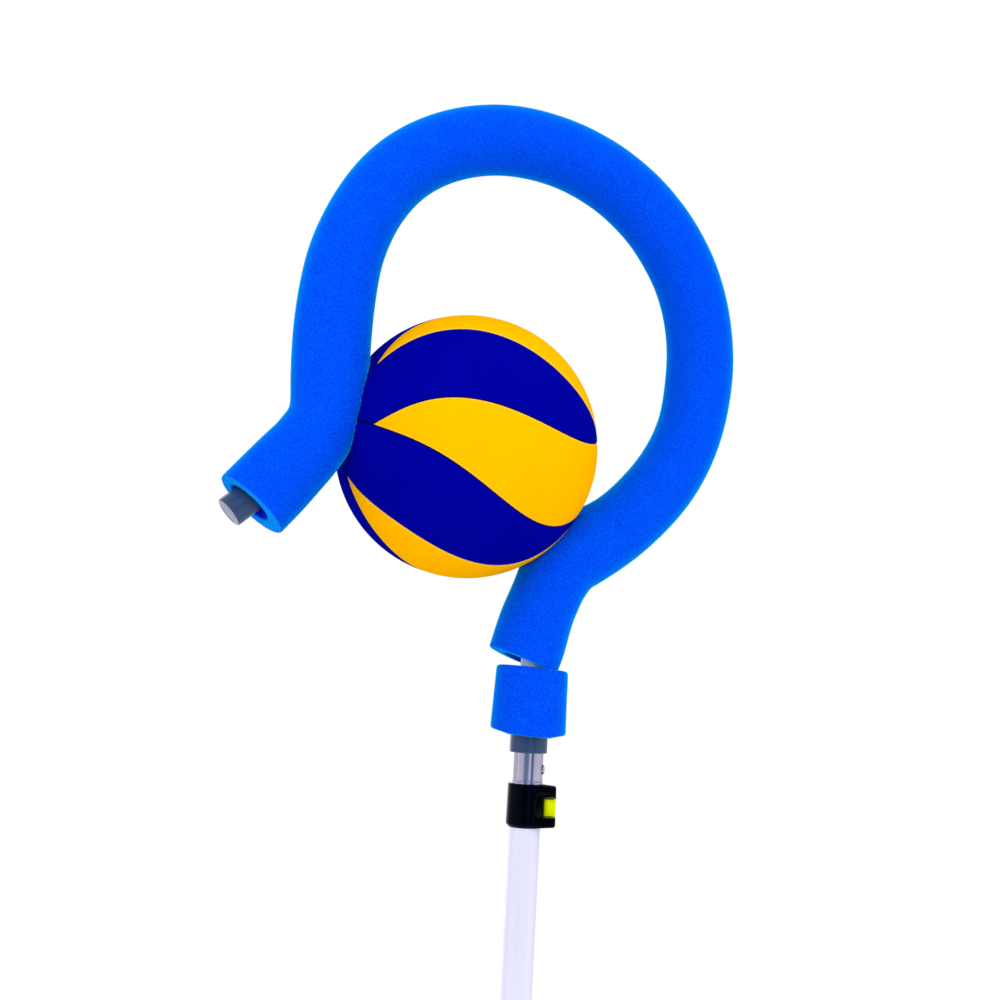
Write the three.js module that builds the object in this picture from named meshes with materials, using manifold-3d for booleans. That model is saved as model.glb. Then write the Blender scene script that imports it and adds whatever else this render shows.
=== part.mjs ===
// Volleyball spike trainer: a telescopic hand pole with a foam covered hook that holds a ball to be hit.
// Millimetres, +Z up. The origin is the middle of the pole's foot, +Z runs up the pole, and the hook lies
// in the XZ plane with its free end towards -X.

import * as THREE from 'three';
import { mergeVertices } from 'three/addons/utils/BufferGeometryUtils.js';
import Module from 'manifold-3d';

const wasm = await Module();
wasm.setup();

// Clearances
const slip_gap = 0.3;
const seat_gap = 0.2;
const cut_overrun = 3;

// Roundness of turned parts
const tube_sides = 24;
const small_sides = 12;

// Outer tube with its foot and grip
const outer_tube_radius = 12.3;
const tube_wall = 1.2;
const outer_tube_length = 1200;
const foot_cap_floor = 5;
const foot_cap_wall = 2.6;
const foot_cap_height = 42;
const foot_cap_chamfer = 2;
const grip_gap_above_foot = 6;
const grip_length = 300;
const grip_wall = 3.6;
const grip_end_round = 2.5;

// Inner tube, pushed all the way in, with the plug that guides its lower end
const inner_tube_rise = 99.2;
const guide_flange_height = 9;
const guide_spigot_length = 22;
const guide_bore_radius = 5;

// Flip clamp: a sleeve with two ears, a cam lever between them and a shoe that the cam presses in
const clamp_height = 32.8;
const clamp_grip_depth = 28.1;
const clamp_wall = 2;
const clamp_azimuth_deg = -32;
const ear_reach = 24.2;
const ear_front_width = 10.5;
const ear_half_width = 5.6;
const ear_corner = 2.4;
const upper_ear_height = 9;
const lower_ear_height = 9.3;
const ear_drop = 0.8;
const clamp_rivet_radius = 2;
const clamp_rivet_head_radius = 3.4;
const clamp_rivet_head_height = 0.8;
const clamp_rivet_rise = 5;
const clamp_rivet_azimuth_deg = 150;
const lever_pin_radius = 1.6;
const lever_pin_head_radius = 2.6;
const lever_pin_head_height = 0.7;
const lever_pin_offset = 19.2;
const cam_radius = 4;
const cam_eccentricity = 0.7;
const lever_thickness = 2.4;
const lever_wrap_start_deg = 27;
const lever_wrap_end_deg = 118;
const lever_tip_length = 6;
const shoe_half_width = 3.6;

// Ferrule that the hook slides down onto the inner tube, with its snap button
const ferrule_wall = 1.25;
const ferrule_length = 44.4;
const ferrule_flange_radius = 13;
const ferrule_flange_height = 3.6;
const button_azimuth_deg = -34;
const button_radius = 3.9;
const button_rise_above_flange = 8.4;
const button_proud = 0.9;
const button_travel = 3;
const spring_thickness = 0.8;
const spring_half_width = 3.5;
const spring_leg_above = 7;
const spring_leg_below = 26;

// Grey coupling between ferrule and hook tube
const coupling_radius = 14.9;
const coupling_rise = 24.7;
const coupling_socket_depth = 20;
const coupling_web = 5;
const coupling_top_socket = 30;
const coupling_web_bore = 6;
const cross_pin_radius = 2;
const cross_pin_rise = 16;
const rivet_radius = 1.6;
const rivet_height = 17.5;

// Hook: one bent tube under a foam sleeve. Bends are in the order met from the pole to the free end.
const hook_tube_radius = 9.5;
const hook_tube_wall = 1.2;
const foam_radius = 28.8;
const foam_snug_gap = 0.3;
const foam_loose_bore = 19;
const foam_start_offset = -6.5;
const foam_start_rise = 51.1;
const foam_start_lean_deg = 17.6;
const foam_lower_straight = 55.4;
const foam_lower_bend_radius = 75.9;
const foam_lower_bend_deg = 46.6;
const right_arc_radius = 174.7;
const right_arc_deg = 104.5;
const top_arc_radius = 164.6;
const top_arc_deg = 132.1;
const left_arc_radius = 406.9;
const left_arc_deg = 7.5;
const left_straight = 39.5;
const foam_tail_bend_radius = 82.4;
const foam_tail_bend_deg = 39.6;
const foam_tail_straight = 52;
const tube_lower_bend_radius = 82;
const tube_tail_bend_radius = 89;
const tube_tail_bend_deg = 48;
const tube_tail_short_of_foam = 4.4;
const arc_step_deg = 7.5;
const foam_sides = 18;
const hook_tube_sides = 10;

// Foam collar round the coupling
const collar_height = 54;
const collar_rise = 12.7;
const collar_edge_round = 3.5;

// Grey end cap on the hook's free end
const end_cap_wall = 2.3;
const end_cap_length = 34;
const end_cap_floor = 4;
const end_cap_chamfer = 1.4;

// Ball: ten panels that spiral from one pole of the ball to the other, over a bladder with a valve
const ball_radius = 105;
const ball_offset_x = -65.2;
const ball_offset_y = 7;
const ball_rise_above_collar = 172.9;
const ball_travel = 250;
const ball_pocket_gap = 0.9;
const panel_thickness = 1.7;
const panel_seam = 0.5;
const panels_per_colour = 5;
const cusp_deg = 26.4;
const panel_rows_between_cusps = 12;
const panel_rows_past_cusp = 3;
const panel_columns = 5;
const pole_hole_radius = 2;
const ball_pole_yaw_deg = 180.1;
const ball_pole_tilt_deg = 84.4;
const ball_spin_deg = 77.7;
const bladder_thickness = 1;
const bladder_gap = 1.2;
const bladder_sides = 20;
const bladder_rows = 11;
const valve_radius = 5;
const valve_depth = 8;
const valve_tilt_deg = 96;
const valve_spin_deg = 160;
const needle_hole_radius = 1.1;

// Seam shape: an odd power series in the distance from the ball's equator, in degrees of longitude
const seam_middle_upper_deg = 17.8;
const seam_upper_deg = [11.9, -17.5, -12.2];
const seam_middle_lower_deg = -18.2;
const seam_lower_deg = [26.1, -10.5, 2.6];

// Colours and finishes
const blue_foam = finish('#0055f5', 0.95, 0);
const anodised = finish('#dfe1f2', 0.4, 0.7);
const bright_metal = finish('#b4b0c0', 0.25, 0.95);
const grey_plastic = finish('#4c5a72', 0.55, 0);
const black_plastic = finish('#08080a', 0.3, 0);
const lime_plastic = finish('#d7eb00', 0.45, 0);
const black_rubber = finish('#17181a', 0.8, 0);
const steel = finish('#8e9097', 0.35, 0.9);
const navy_panel = finish('#000096', 0.5, 0);
const yellow_panel = finish('#ffc300', 0.5, 0);
const bladder_rubber = finish('#141414', 0.8, 0);

// Heights up the pole, each from the one below
const outer_tube_bottom = foot_cap_floor;
const outer_tube_top = outer_tube_bottom + outer_tube_length;
const clamp_bottom = outer_tube_top - clamp_grip_depth;
const clamp_top = clamp_bottom + clamp_height;
const ferrule_bottom = clamp_top + slip_gap;
const flange_top = ferrule_bottom + ferrule_flange_height;
const ferrule_top = ferrule_bottom + ferrule_length;
const button_height = flange_top + button_rise_above_flange;
const coupling_bottom = ferrule_bottom + coupling_rise;
const coupling_shoulder = coupling_bottom + coupling_socket_depth;
const hook_tube_bottom = coupling_shoulder + coupling_web;
const coupling_top = hook_tube_bottom + coupling_top_socket;
const inner_tube_top = ferrule_top - seat_gap;
const inner_tube_bottom = outer_tube_bottom + inner_tube_rise;
const collar_bottom = coupling_bottom + collar_rise;
const collar_top = collar_bottom + collar_height;
const foam_start_height = hook_tube_bottom + foam_start_rise;
const ball_height = collar_top + ball_rise_above_collar;

// Radii that follow from the tubes
const outer_tube_bore = outer_tube_radius - tube_wall;
const inner_tube_radius = outer_tube_bore - slip_gap;
const inner_tube_bore = inner_tube_radius - tube_wall;
const ferrule_bore = inner_tube_radius + slip_gap;
const ferrule_radius = ferrule_bore + ferrule_wall;
const clamp_bore = outer_tube_radius + seat_gap;
const clamp_radius = clamp_bore + clamp_wall;
const hook_tube_bore = hook_tube_radius - hook_tube_wall;
const end_cap_bore = hook_tube_radius + seat_gap;
const end_cap_radius = end_cap_bore + end_cap_wall;

// Where the cam lever sits between the ears
const upper_ear_bottom = clamp_top - ear_drop - upper_ear_height;
const lower_ear_top = clamp_bottom + lower_ear_height;
const lever_bottom = lower_ear_top + slip_gap;
const lever_top = upper_ear_bottom - slip_gap;
const cam_face = lever_pin_offset - cam_radius - cam_eccentricity;

function finish(colour, roughness, metalness) {
  return { colour, roughness, metalness };
}

function material(look) {
  const { colour, roughness, metalness } = look;
  return new THREE.MeshStandardMaterial({ color: colour, roughness, metalness });
}

function radians(degrees) {
  return THREE.MathUtils.degToRad(degrees);
}

function part(name, geometry, look) {
  const mesh = new THREE.Mesh(geometry, material(look));
  mesh.name = name;
  return mesh;
}

// A geometry as a manifold solid, and back
function solid(geometry) {
  const bare = geometry.clone();
  bare.deleteAttribute('normal');
  bare.deleteAttribute('uv');
  const welded = mergeVertices(bare);
  const vertProperties = new Float32Array(welded.attributes.position.array);
  const triVerts = new Uint32Array(welded.index.array);
  return new wasm.Manifold(new wasm.Mesh({ numProp: 3, vertProperties, triVerts }));
}

function geometryOf(manifold) {
  const mesh = manifold.getMesh();
  const geometry = new THREE.BufferGeometry();
  geometry.setAttribute('position', new THREE.BufferAttribute(mesh.vertProperties, 3));
  geometry.setIndex(new THREE.BufferAttribute(mesh.triVerts, 1));
  return geometry;
}

function cut(geometry, ...tools) {
  let body = solid(geometry);
  for (const tool of tools) {
    body = body.subtract(solid(tool));
  }
  return geometryOf(body);
}

function join(geometry, ...others) {
  let body = solid(geometry);
  for (const other of others) {
    body = body.add(solid(other));
  }
  return geometryOf(body);
}

// A body turned about Z from a closed outline of [radius, height] points, anticlockwise
function turned(outline, sides = tube_sides) {
  const points = outline.map(([radius, height]) => new THREE.Vector2(radius, height));
  return new THREE.LatheGeometry(points, sides).rotateX(Math.PI / 2);
}

function tube(outer, bore, bottom, top, sides = tube_sides) {
  return turned([[bore, bottom], [outer, bottom], [outer, top], [bore, top], [bore, bottom]], sides);
}

function rod(radius, bottom, top, sides = small_sides) {
  return turned([[0, bottom], [radius, bottom], [radius, top], [0, top]], sides);
}

// A rod that runs out along +X from one distance to another, at a height
function radialRod(radius, from, to, height, sides = small_sides) {
  return rod(radius, from, to, sides).rotateY(Math.PI / 2).translate(0, 0, height);
}

// A rod across the pole along Y, centred on it
function crossRod(radius, half_length, height, sides = small_sides) {
  return rod(radius, -half_length, half_length, sides).rotateX(Math.PI / 2).translate(0, 0, height);
}

function slab(x_from, x_to, half_width, bottom, top) {
  const box = new THREE.BoxGeometry(x_to - x_from, 2 * half_width, top - bottom);
  return box.translate((x_from + x_to) / 2, 0, (bottom + top) / 2);
}

// A flat outline in XY raised from bottom to top
function raised(shape, bottom, top, curveSegments = small_sides) {
  const geometry = new THREE.ExtrudeGeometry(shape, { depth: top - bottom, bevelEnabled: false, curveSegments });
  return geometry.translate(0, 0, bottom);
}

// Stations along a bent centreline in the XZ plane. Each piece is a straight { length } or a bend
// { radius, turn }, with turn in degrees, positive to the left of the way ahead.
function stationsAlong(start, pieces) {
  const stations = [{ ...start }];
  let { x, z, heading } = start;
  for (const { length, radius, turn } of pieces) {
    if (length !== undefined) {
      x += length * Math.cos(heading);
      z += length * Math.sin(heading);
      stations.push({ x, z, heading });
      continue;
    }
    const side = Math.sign(turn);
    const steps = Math.ceil(Math.abs(turn) / arc_step_deg);
    const middle_x = x - side * radius * Math.sin(heading);
    const middle_z = z + side * radius * Math.cos(heading);
    for (let step = 1; step <= steps; step += 1) {
      const angle = heading + radians(turn) * step / steps;
      x = middle_x + side * radius * Math.sin(angle);
      z = middle_z - side * radius * Math.cos(angle);
      stations.push({ x, z, heading: angle });
    }
    heading += radians(turn);
  }
  return stations;
}

// A hollow sleeve along stations: a ring of points at each one, outside and in, joined and closed at both ends
function sleeve(stations, outer, boreAt, sides) {
  const positions = [];
  const index = [];
  const ring = (station, radius) => {
    for (let side = 0; side < sides; side += 1) {
      const angle = 2 * Math.PI * side / sides;
      const out = radius * Math.cos(angle);
      positions.push(station.x - out * Math.sin(station.heading));
      positions.push(radius * Math.sin(angle));
      positions.push(station.z + out * Math.cos(station.heading));
    }
  };
  stations.forEach((station) => ring(station, outer));
  stations.forEach((station, number) => ring(station, boreAt(number)));
  const rows = stations.length;
  const at = (layer, row, side) => (layer * rows + row) * sides + side % sides;
  const quad = (a, b, c, d) => index.push(a, b, c, a, c, d);
  for (let side = 0; side < sides; side += 1) {
    for (let row = 0; row + 1 < rows; row += 1) {
      quad(at(0, row, side), at(0, row + 1, side), at(0, row + 1, side + 1), at(0, row, side + 1));
      quad(at(1, row, side), at(1, row, side + 1), at(1, row + 1, side + 1), at(1, row + 1, side));
    }
    const last = rows - 1;
    quad(at(0, 0, side), at(0, 0, side + 1), at(1, 0, side + 1), at(1, 0, side));
    quad(at(0, last, side), at(1, last, side), at(1, last, side + 1), at(0, last, side + 1));
  }
  const geometry = new THREE.BufferGeometry();
  geometry.setAttribute('position', new THREE.Float32BufferAttribute(positions, 3));
  geometry.setIndex(index);
  return geometry;
}

// Pole: outer tube, foot and grip

function outerTube() {
  const window_cut = slab(0, outer_tube_radius + cut_overrun, shoe_half_width + slip_gap, lever_bottom, lever_top);
  const rivet_hole = clampRivetHole(outer_tube_radius);
  const walls = tube(outer_tube_radius, outer_tube_bore, outer_tube_bottom, outer_tube_top);
  return part('outer_tube', cut(walls, window_cut, rivet_hole), anodised);
}

function footCap() {
  const bore = outer_tube_radius + seat_gap;
  const radius = bore + foot_cap_wall;
  const floor_top = foot_cap_floor - slip_gap;
  const outline = [[0, 0], [radius - foot_cap_chamfer, 0], [radius, foot_cap_chamfer]];
  outline.push([radius, foot_cap_height], [bore, foot_cap_height], [bore, floor_top], [0, floor_top]);
  return part('foot_cap', turned(outline), black_rubber);
}

function handGrip() {
  const bore = outer_tube_radius + seat_gap;
  const radius = bore + grip_wall;
  const bottom = foot_cap_height + grip_gap_above_foot;
  const top = bottom + grip_length;
  const edge = radius - grip_end_round;
  const outline = [[bore, bottom], [edge, bottom], [radius, bottom + grip_end_round]];
  outline.push([radius, top - grip_end_round], [edge, top], [bore, top], [bore, bottom]);
  return part('hand_grip', turned(outline), black_rubber);
}

// Flip clamp

function rivetHeight() {
  return clamp_bottom + clamp_rivet_rise;
}

function clampRivetHole(reach) {
  const hole = radialRod(clamp_rivet_radius + seat_gap, 0, reach + cut_overrun, rivetHeight());
  return hole.rotateZ(radians(clamp_rivet_azimuth_deg));
}

// An ear is wider on the side seen from the front, where it runs on from the sleeve
function ear(bottom, top) {
  const sleeve_edge = Math.sqrt(clamp_radius ** 2 - ear_front_width ** 2);
  const shape = new THREE.Shape();
  shape.moveTo(sleeve_edge, -ear_front_width);
  shape.lineTo(ear_reach - ear_corner, -ear_front_width);
  shape.lineTo(ear_reach, ear_corner - ear_front_width);
  shape.lineTo(ear_reach, ear_half_width - ear_corner);
  shape.lineTo(ear_reach - ear_corner, ear_half_width);
  shape.lineTo(clamp_bore, ear_half_width);
  shape.closePath();
  return raised(shape, bottom, top);
}

function clampBody() {
  const lip_bore = inner_tube_radius + slip_gap;
  const lip_bottom = outer_tube_top + seat_gap;
  const outline = [[clamp_bore, clamp_bottom], [clamp_radius, clamp_bottom], [clamp_radius, clamp_top]];
  outline.push([lip_bore, clamp_top], [lip_bore, lip_bottom], [clamp_bore, lip_bottom], [clamp_bore, clamp_bottom]);
  const ears = [
    ear(clamp_bottom, lower_ear_top),
    ear(upper_ear_bottom, clamp_top - ear_drop),
  ];
  const window_cut = slab(clamp_bore / 2, ear_reach, ear_half_width, lower_ear_top, upper_ear_bottom);
  const bore_cut = rod(clamp_bore, clamp_bottom - cut_overrun, lip_bottom, tube_sides);
  const pin_hole = rod(lever_pin_radius + seat_gap, clamp_bottom - cut_overrun, clamp_top + cut_overrun);
  pin_hole.translate(lever_pin_offset, 0, 0);
  const rivet_hole = clampRivetHole(clamp_radius);
  const body = join(turned(outline), ...ears);
  return part('clamp_body', cut(body, bore_cut, window_cut, pin_hole, rivet_hole), black_plastic);
}

function clampRivet() {
  const shank_start = outer_tube_bore + slip_gap;
  const head_start = clamp_radius + slip_gap;
  const head_end = head_start + clamp_rivet_head_height;
  const outline = [[0, shank_start], [clamp_rivet_radius, shank_start], [clamp_rivet_radius, head_start]];
  outline.push([clamp_rivet_head_radius, head_start], [clamp_rivet_radius, head_end], [0, head_end]);
  const geometry = turned(outline, small_sides).rotateY(Math.PI / 2).translate(0, 0, rivetHeight());
  return part('clamp_rivet', geometry.rotateZ(radians(clamp_rivet_azimuth_deg)), steel);
}

function leverPin() {
  const bottom = clamp_bottom - lever_pin_head_height - slip_gap;
  const top = clamp_top - ear_drop + lever_pin_head_height + slip_gap;
  const head_bottom = bottom + lever_pin_head_height;
  const head_top = top - lever_pin_head_height;
  const outline = [[0, bottom], [lever_pin_head_radius, bottom], [lever_pin_head_radius, head_bottom]];
  outline.push([lever_pin_radius, head_bottom], [lever_pin_radius, head_top], [lever_pin_head_radius, head_top]);
  outline.push([lever_pin_head_radius, top], [0, top]);
  return part('lever_pin', turned(outline, small_sides).translate(lever_pin_offset, 0, 0), steel);
}

function camLever() {
  const cam = new THREE.Shape();
  cam.absarc(lever_pin_offset - cam_eccentricity, 0, cam_radius, 0, 2 * Math.PI);
  const inner = clamp_radius + slip_gap;
  const outer = inner + lever_thickness;
  const start = radians(lever_wrap_start_deg);
  const end = radians(lever_wrap_end_deg);
  const tip = new THREE.Vector2(-Math.sin(end), Math.cos(end)).multiplyScalar(lever_tip_length);
  const handle = new THREE.Shape();
  handle.moveTo(inner * Math.cos(start), inner * Math.sin(start));
  handle.absarc(0, 0, inner, start, end, false);
  handle.lineTo(outer * Math.cos(end) + tip.x, outer * Math.sin(end) + tip.y);
  handle.lineTo(outer * Math.cos(end), outer * Math.sin(end));
  handle.absarc(0, 0, outer, end, start, true);
  handle.closePath();
  const neck = new THREE.Shape();
  neck.moveTo(lever_pin_offset - cam_eccentricity, cam_radius);
  neck.lineTo(lever_pin_offset - cam_eccentricity, 0);
  neck.lineTo(lever_pin_offset - cam_eccentricity + cam_radius, 0);
  neck.lineTo(outer * Math.cos(start), outer * Math.sin(start) + lever_thickness);
  neck.lineTo(outer * Math.cos(end / 2 + start), outer * Math.sin(end / 2 + start));
  neck.lineTo(inner * Math.cos(end / 2 + start), inner * Math.sin(end / 2 + start));
  neck.lineTo(inner * Math.cos(start), inner * Math.sin(start));
  neck.closePath();
  const pin_hole = rod(lever_pin_radius + seat_gap, lever_bottom - cut_overrun, lever_top + cut_overrun);
  pin_hole.translate(lever_pin_offset, 0, 0);
  const solids = [cam, handle, neck].map((shape) => raised(shape, lever_bottom, lever_top));
  const room = rod(inner, lever_bottom - cut_overrun, lever_top + cut_overrun, tube_sides);
  return part('cam_lever', cut(join(...solids), pin_hole, room), lime_plastic);
}

function pressureShoe() {
  const inner_face = inner_tube_radius + slip_gap;
  const bottom = lever_bottom + slip_gap;
  const top = lever_top - slip_gap;
  return part('pressure_shoe', slab(inner_face, cam_face - slip_gap, shoe_half_width, bottom, top), steel);
}

function clampGroup() {
  const group = new THREE.Group();
  group.rotation.z = radians(clamp_azimuth_deg);
  group.add(outerTube(), clampBody(), clampRivet(), leverPin(), camLever(), pressureShoe());
  return group;
}

// Inner tube, ferrule and snap button

function guidePlug() {
  const flange_radius = outer_tube_bore - seat_gap;
  const spigot_radius = inner_tube_bore - slip_gap;
  const flange_top_height = inner_tube_bottom - slip_gap;
  const bottom = flange_top_height - guide_flange_height;
  const top = inner_tube_bottom + guide_spigot_length;
  const outline = [[guide_bore_radius, bottom], [flange_radius, bottom], [flange_radius, flange_top_height]];
  outline.push([spigot_radius, flange_top_height], [spigot_radius, top], [guide_bore_radius, top]);
  outline.push([guide_bore_radius, bottom]);
  return part('guide_plug', turned(outline), grey_plastic);
}

function buttonHole(reach) {
  return radialRod(button_radius + slip_gap, 0, reach + cut_overrun, button_height);
}

function innerTube() {
  const walls = tube(inner_tube_radius, inner_tube_bore, inner_tube_bottom, inner_tube_top);
  return part('inner_tube', cut(walls, buttonHole(inner_tube_radius)), anodised);
}

function rivetHole(reach) {
  return crossRod(rivet_radius + seat_gap, reach + cut_overrun, coupling_bottom + rivet_height);
}

function socketFerrule() {
  const outline = [[ferrule_bore, ferrule_bottom], [ferrule_flange_radius, ferrule_bottom]];
  outline.push([ferrule_flange_radius, flange_top], [ferrule_radius, flange_top], [ferrule_radius, ferrule_top]);
  outline.push([ferrule_bore, ferrule_top], [ferrule_bore, ferrule_bottom]);
  return part('socket_ferrule', cut(turned(outline), buttonHole(ferrule_radius)), bright_metal);
}

// The clip's near leg lies against the button, and its far leg has room to follow the button in
function springLegFace() {
  return Math.sqrt((inner_tube_bore - slip_gap) ** 2 - spring_half_width ** 2) - slip_gap;
}

function snapButton() {
  const inner_end = springLegFace() + slip_gap;
  const outer_end = ferrule_radius + button_proud;
  return part('snap_button', radialRod(button_radius, inner_end, outer_end, button_height), steel);
}

function buttonSpring() {
  const near = springLegFace();
  const far = button_travel + slip_gap - near;
  const top = button_height + spring_leg_above;
  const bend = button_height - spring_leg_below;
  const thick = spring_thickness;
  const shape = new THREE.Shape();
  shape.moveTo(near, top);
  shape.lineTo(near - thick, top);
  shape.lineTo(near - thick, bend);
  shape.lineTo(far + 2 * thick, bend);
  shape.lineTo(far + thick, top);
  shape.lineTo(far, top);
  shape.lineTo(far + thick, bend - thick);
  shape.lineTo(near, bend - thick);
  shape.closePath();
  const geometry = raised(shape, -spring_half_width, spring_half_width).rotateX(Math.PI / 2);
  return part('button_spring', geometry, steel);
}

function buttonGroup() {
  const group = new THREE.Group();
  group.rotation.z = radians(button_azimuth_deg);
  group.add(innerTube(), socketFerrule(), snapButton(), buttonSpring());
  return group;
}

// Coupling and its fasteners

function headCoupling() {
  const lower_bore = ferrule_radius + seat_gap;
  const upper_bore = hook_tube_radius + seat_gap;
  const shoulder = coupling_shoulder;
  const seat = hook_tube_bottom - seat_gap;
  const outline = [[lower_bore, coupling_bottom], [coupling_radius, coupling_bottom]];
  outline.push([coupling_radius, coupling_top], [upper_bore, coupling_top], [upper_bore, seat]);
  outline.push([coupling_web_bore, seat], [coupling_web_bore, shoulder], [lower_bore, shoulder]);
  outline.push([lower_bore, coupling_bottom]);
  const pin_hole = crossRod(cross_pin_radius + seat_gap, coupling_radius + cut_overrun, crossPinHeight());
  const rivet_hole = rivetHole(coupling_radius);
  return part('head_coupling', cut(turned(outline), pin_hole, rivet_hole), grey_plastic);
}

function crossPinHeight() {
  return hook_tube_bottom + cross_pin_rise;
}

function crossPin() {
  return part('coupling_pin', crossRod(cross_pin_radius, coupling_radius, crossPinHeight()), steel);
}

// Two blind rivets, one each side, hold the ferrule in the coupling
function ferruleRivets() {
  const inner_end = ferrule_radius + slip_gap;
  const rivets = [0, 1].map((side) => {
    const shank = radialRod(rivet_radius, inner_end, coupling_radius, coupling_bottom + rivet_height);
    shank.rotateZ(Math.PI * (side + 1 / 2));
    return part(side ? 'ferrule_rivet_front' : 'ferrule_rivet_back', shank, steel);
  });
  return rivets;
}

// Hook tube, foam sleeve, collar and end cap

function sharedBends() {
  return [
    { radius: right_arc_radius, turn: right_arc_deg },
    { radius: top_arc_radius, turn: top_arc_deg },
    { radius: left_arc_radius, turn: left_arc_deg },
    { length: left_straight },
  ];
}

function foamStart() {
  const heading = Math.PI / 2 - radians(foam_start_lean_deg);
  return { x: foam_start_offset, z: foam_start_height, heading };
}

function foamLowerPieces() {
  return [
    { length: foam_lower_straight },
    { radius: foam_lower_bend_radius, turn: -foam_lower_bend_deg },
  ];
}

function foamStations() {
  const tail = [{ radius: foam_tail_bend_radius, turn: -foam_tail_bend_deg }, { length: foam_tail_straight }];
  return stationsAlong(foamStart(), [...foamLowerPieces(), ...sharedBends(), ...tail]);
}

// The tube leaves the pole upright and meets the foam's centreline where the right arc starts. At its
// free end it bends further than the foam, so that it comes out of the sleeve askew.
function tubeStations() {
  const lower = stationsAlong(foamStart(), foamLowerPieces());
  const meeting = lower[lower.length - 1];
  const bend = Math.PI / 2 - meeting.heading;
  const across = tube_lower_bend_radius * (1 - Math.cos(bend));
  const straight = (meeting.x - across) / Math.cos(meeting.heading);
  const rise = tube_lower_bend_radius * Math.sin(bend) + straight * Math.sin(meeting.heading);
  const upright = meeting.z - rise - hook_tube_bottom;
  const start = { x: 0, z: hook_tube_bottom, heading: Math.PI / 2 };
  const turn = THREE.MathUtils.radToDeg(bend);
  const lowerTube = [{ length: upright }, { radius: tube_lower_bend_radius, turn: -turn }, { length: straight }];
  const tail_straight = foam_tail_straight - tube_tail_short_of_foam;
  const tail = [{ radius: tube_tail_bend_radius, turn: -tube_tail_bend_deg }, { length: tail_straight }];
  return stationsAlong(start, [...lowerTube, ...sharedBends(), ...tail]);
}

function hookTube() {
  const walls = sleeve(tubeStations(), hook_tube_radius, () => hook_tube_bore, hook_tube_sides);
  const pin_hole = crossRod(cross_pin_radius + seat_gap, hook_tube_radius + cut_overrun, crossPinHeight());
  return part('hook_tube', cut(walls, pin_hole), anodised);
}

// The room that the ball takes up, from where it sits out to the far side of the hook
function ballPocket() {
  const radius = ball_radius + ball_pocket_gap;
  const rows = bladder_rows;
  const outline = [];
  for (let row = 0; row <= rows; row += 1) {
    const angle = Math.PI / 2 * row / rows;
    outline.push(new THREE.Vector2(radius * Math.sin(angle), -radius * Math.cos(angle)));
  }
  outline[0].x = 0;
  outline.push(new THREE.Vector2(radius, ball_travel));
  outline.push(new THREE.Vector2(0, ball_travel));
  const geometry = new THREE.LatheGeometry(outline, 2 * tube_sides);
  return geometry.translate(ball_offset_x, ball_offset_y, ball_height);
}

function hookFoam() {
  const stations = foamStations();
  const lower_count = stationsAlong(foamStart(), foamLowerPieces()).length;
  const tail_start = stationsAlong(foamStart(), [...foamLowerPieces(), ...sharedBends()]).length;
  const boreAt = (number) => {
    const snug = number >= lower_count && number < tail_start;
    return snug ? hook_tube_radius + foam_snug_gap : foam_loose_bore;
  };
  const walls = sleeve(stations, foam_radius, boreAt, foam_sides);
  return part('hook_foam', cut(walls, ballPocket()), blue_foam);
}

function foamCollar() {
  const bore = coupling_radius + slip_gap;
  const edge = foam_radius - collar_edge_round;
  const outline = [[bore, collar_bottom], [edge, collar_bottom], [foam_radius, collar_bottom + collar_edge_round]];
  outline.push([foam_radius, collar_top - collar_edge_round], [edge, collar_top], [bore, collar_top]);
  outline.push([bore, collar_bottom]);
  return part('foam_collar', turned(outline), blue_foam);
}

function tailEndCap() {
  const stations = tubeStations();
  const end = stations[stations.length - 1];
  const mouth = end_cap_floor - end_cap_length;
  const outline = [[end_cap_bore, mouth], [end_cap_radius, mouth], [end_cap_radius, end_cap_floor - end_cap_chamfer]];
  outline.push([end_cap_radius - end_cap_chamfer, end_cap_floor], [0, end_cap_floor], [0, slip_gap]);
  outline.push([end_cap_bore, slip_gap], [end_cap_bore, mouth]);
  const mesh = part('tail_end_cap', turned(outline), grey_plastic);
  mesh.rotation.y = Math.PI / 2 - end.heading;
  mesh.position.set(end.x, 0, end.z);
  return mesh;
}

// Ball. In its own frame the pole where the navy panels meet is +Z, and a seam's place is a longitude
// that depends on the polar angle alone.

function seamLongitude(middle, series, polar_deg) {
  const reach = (90 - polar_deg) / (90 - cusp_deg);
  const swing = series.reduce((sum, factor, power) => sum + factor * reach ** (2 * power + 1), 0);
  return radians(middle + swing);
}

function onBall(radius, polar_deg, longitude) {
  const polar = radians(polar_deg);
  const across = radius * Math.sin(polar);
  return [across * Math.cos(longitude), across * Math.sin(longitude), radius * Math.cos(polar)];
}

// Rows of a yellow panel from its cusp to the pole where the yellow panels meet, as polar angles
function panelRows() {
  const rows = [];
  for (let row = 0; row <= panel_rows_between_cusps; row += 1) {
    rows.push(cusp_deg + (180 - 2 * cusp_deg) * row / panel_rows_between_cusps);
  }
  const last_deg = 180 - THREE.MathUtils.radToDeg(pole_hole_radius / ball_radius);
  const past = last_deg - (180 - cusp_deg);
  for (let row = 1; row <= panel_rows_past_cusp; row += 1) {
    rows.push(180 - cusp_deg + past * row / panel_rows_past_cusp);
  }
  return rows;
}

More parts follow.
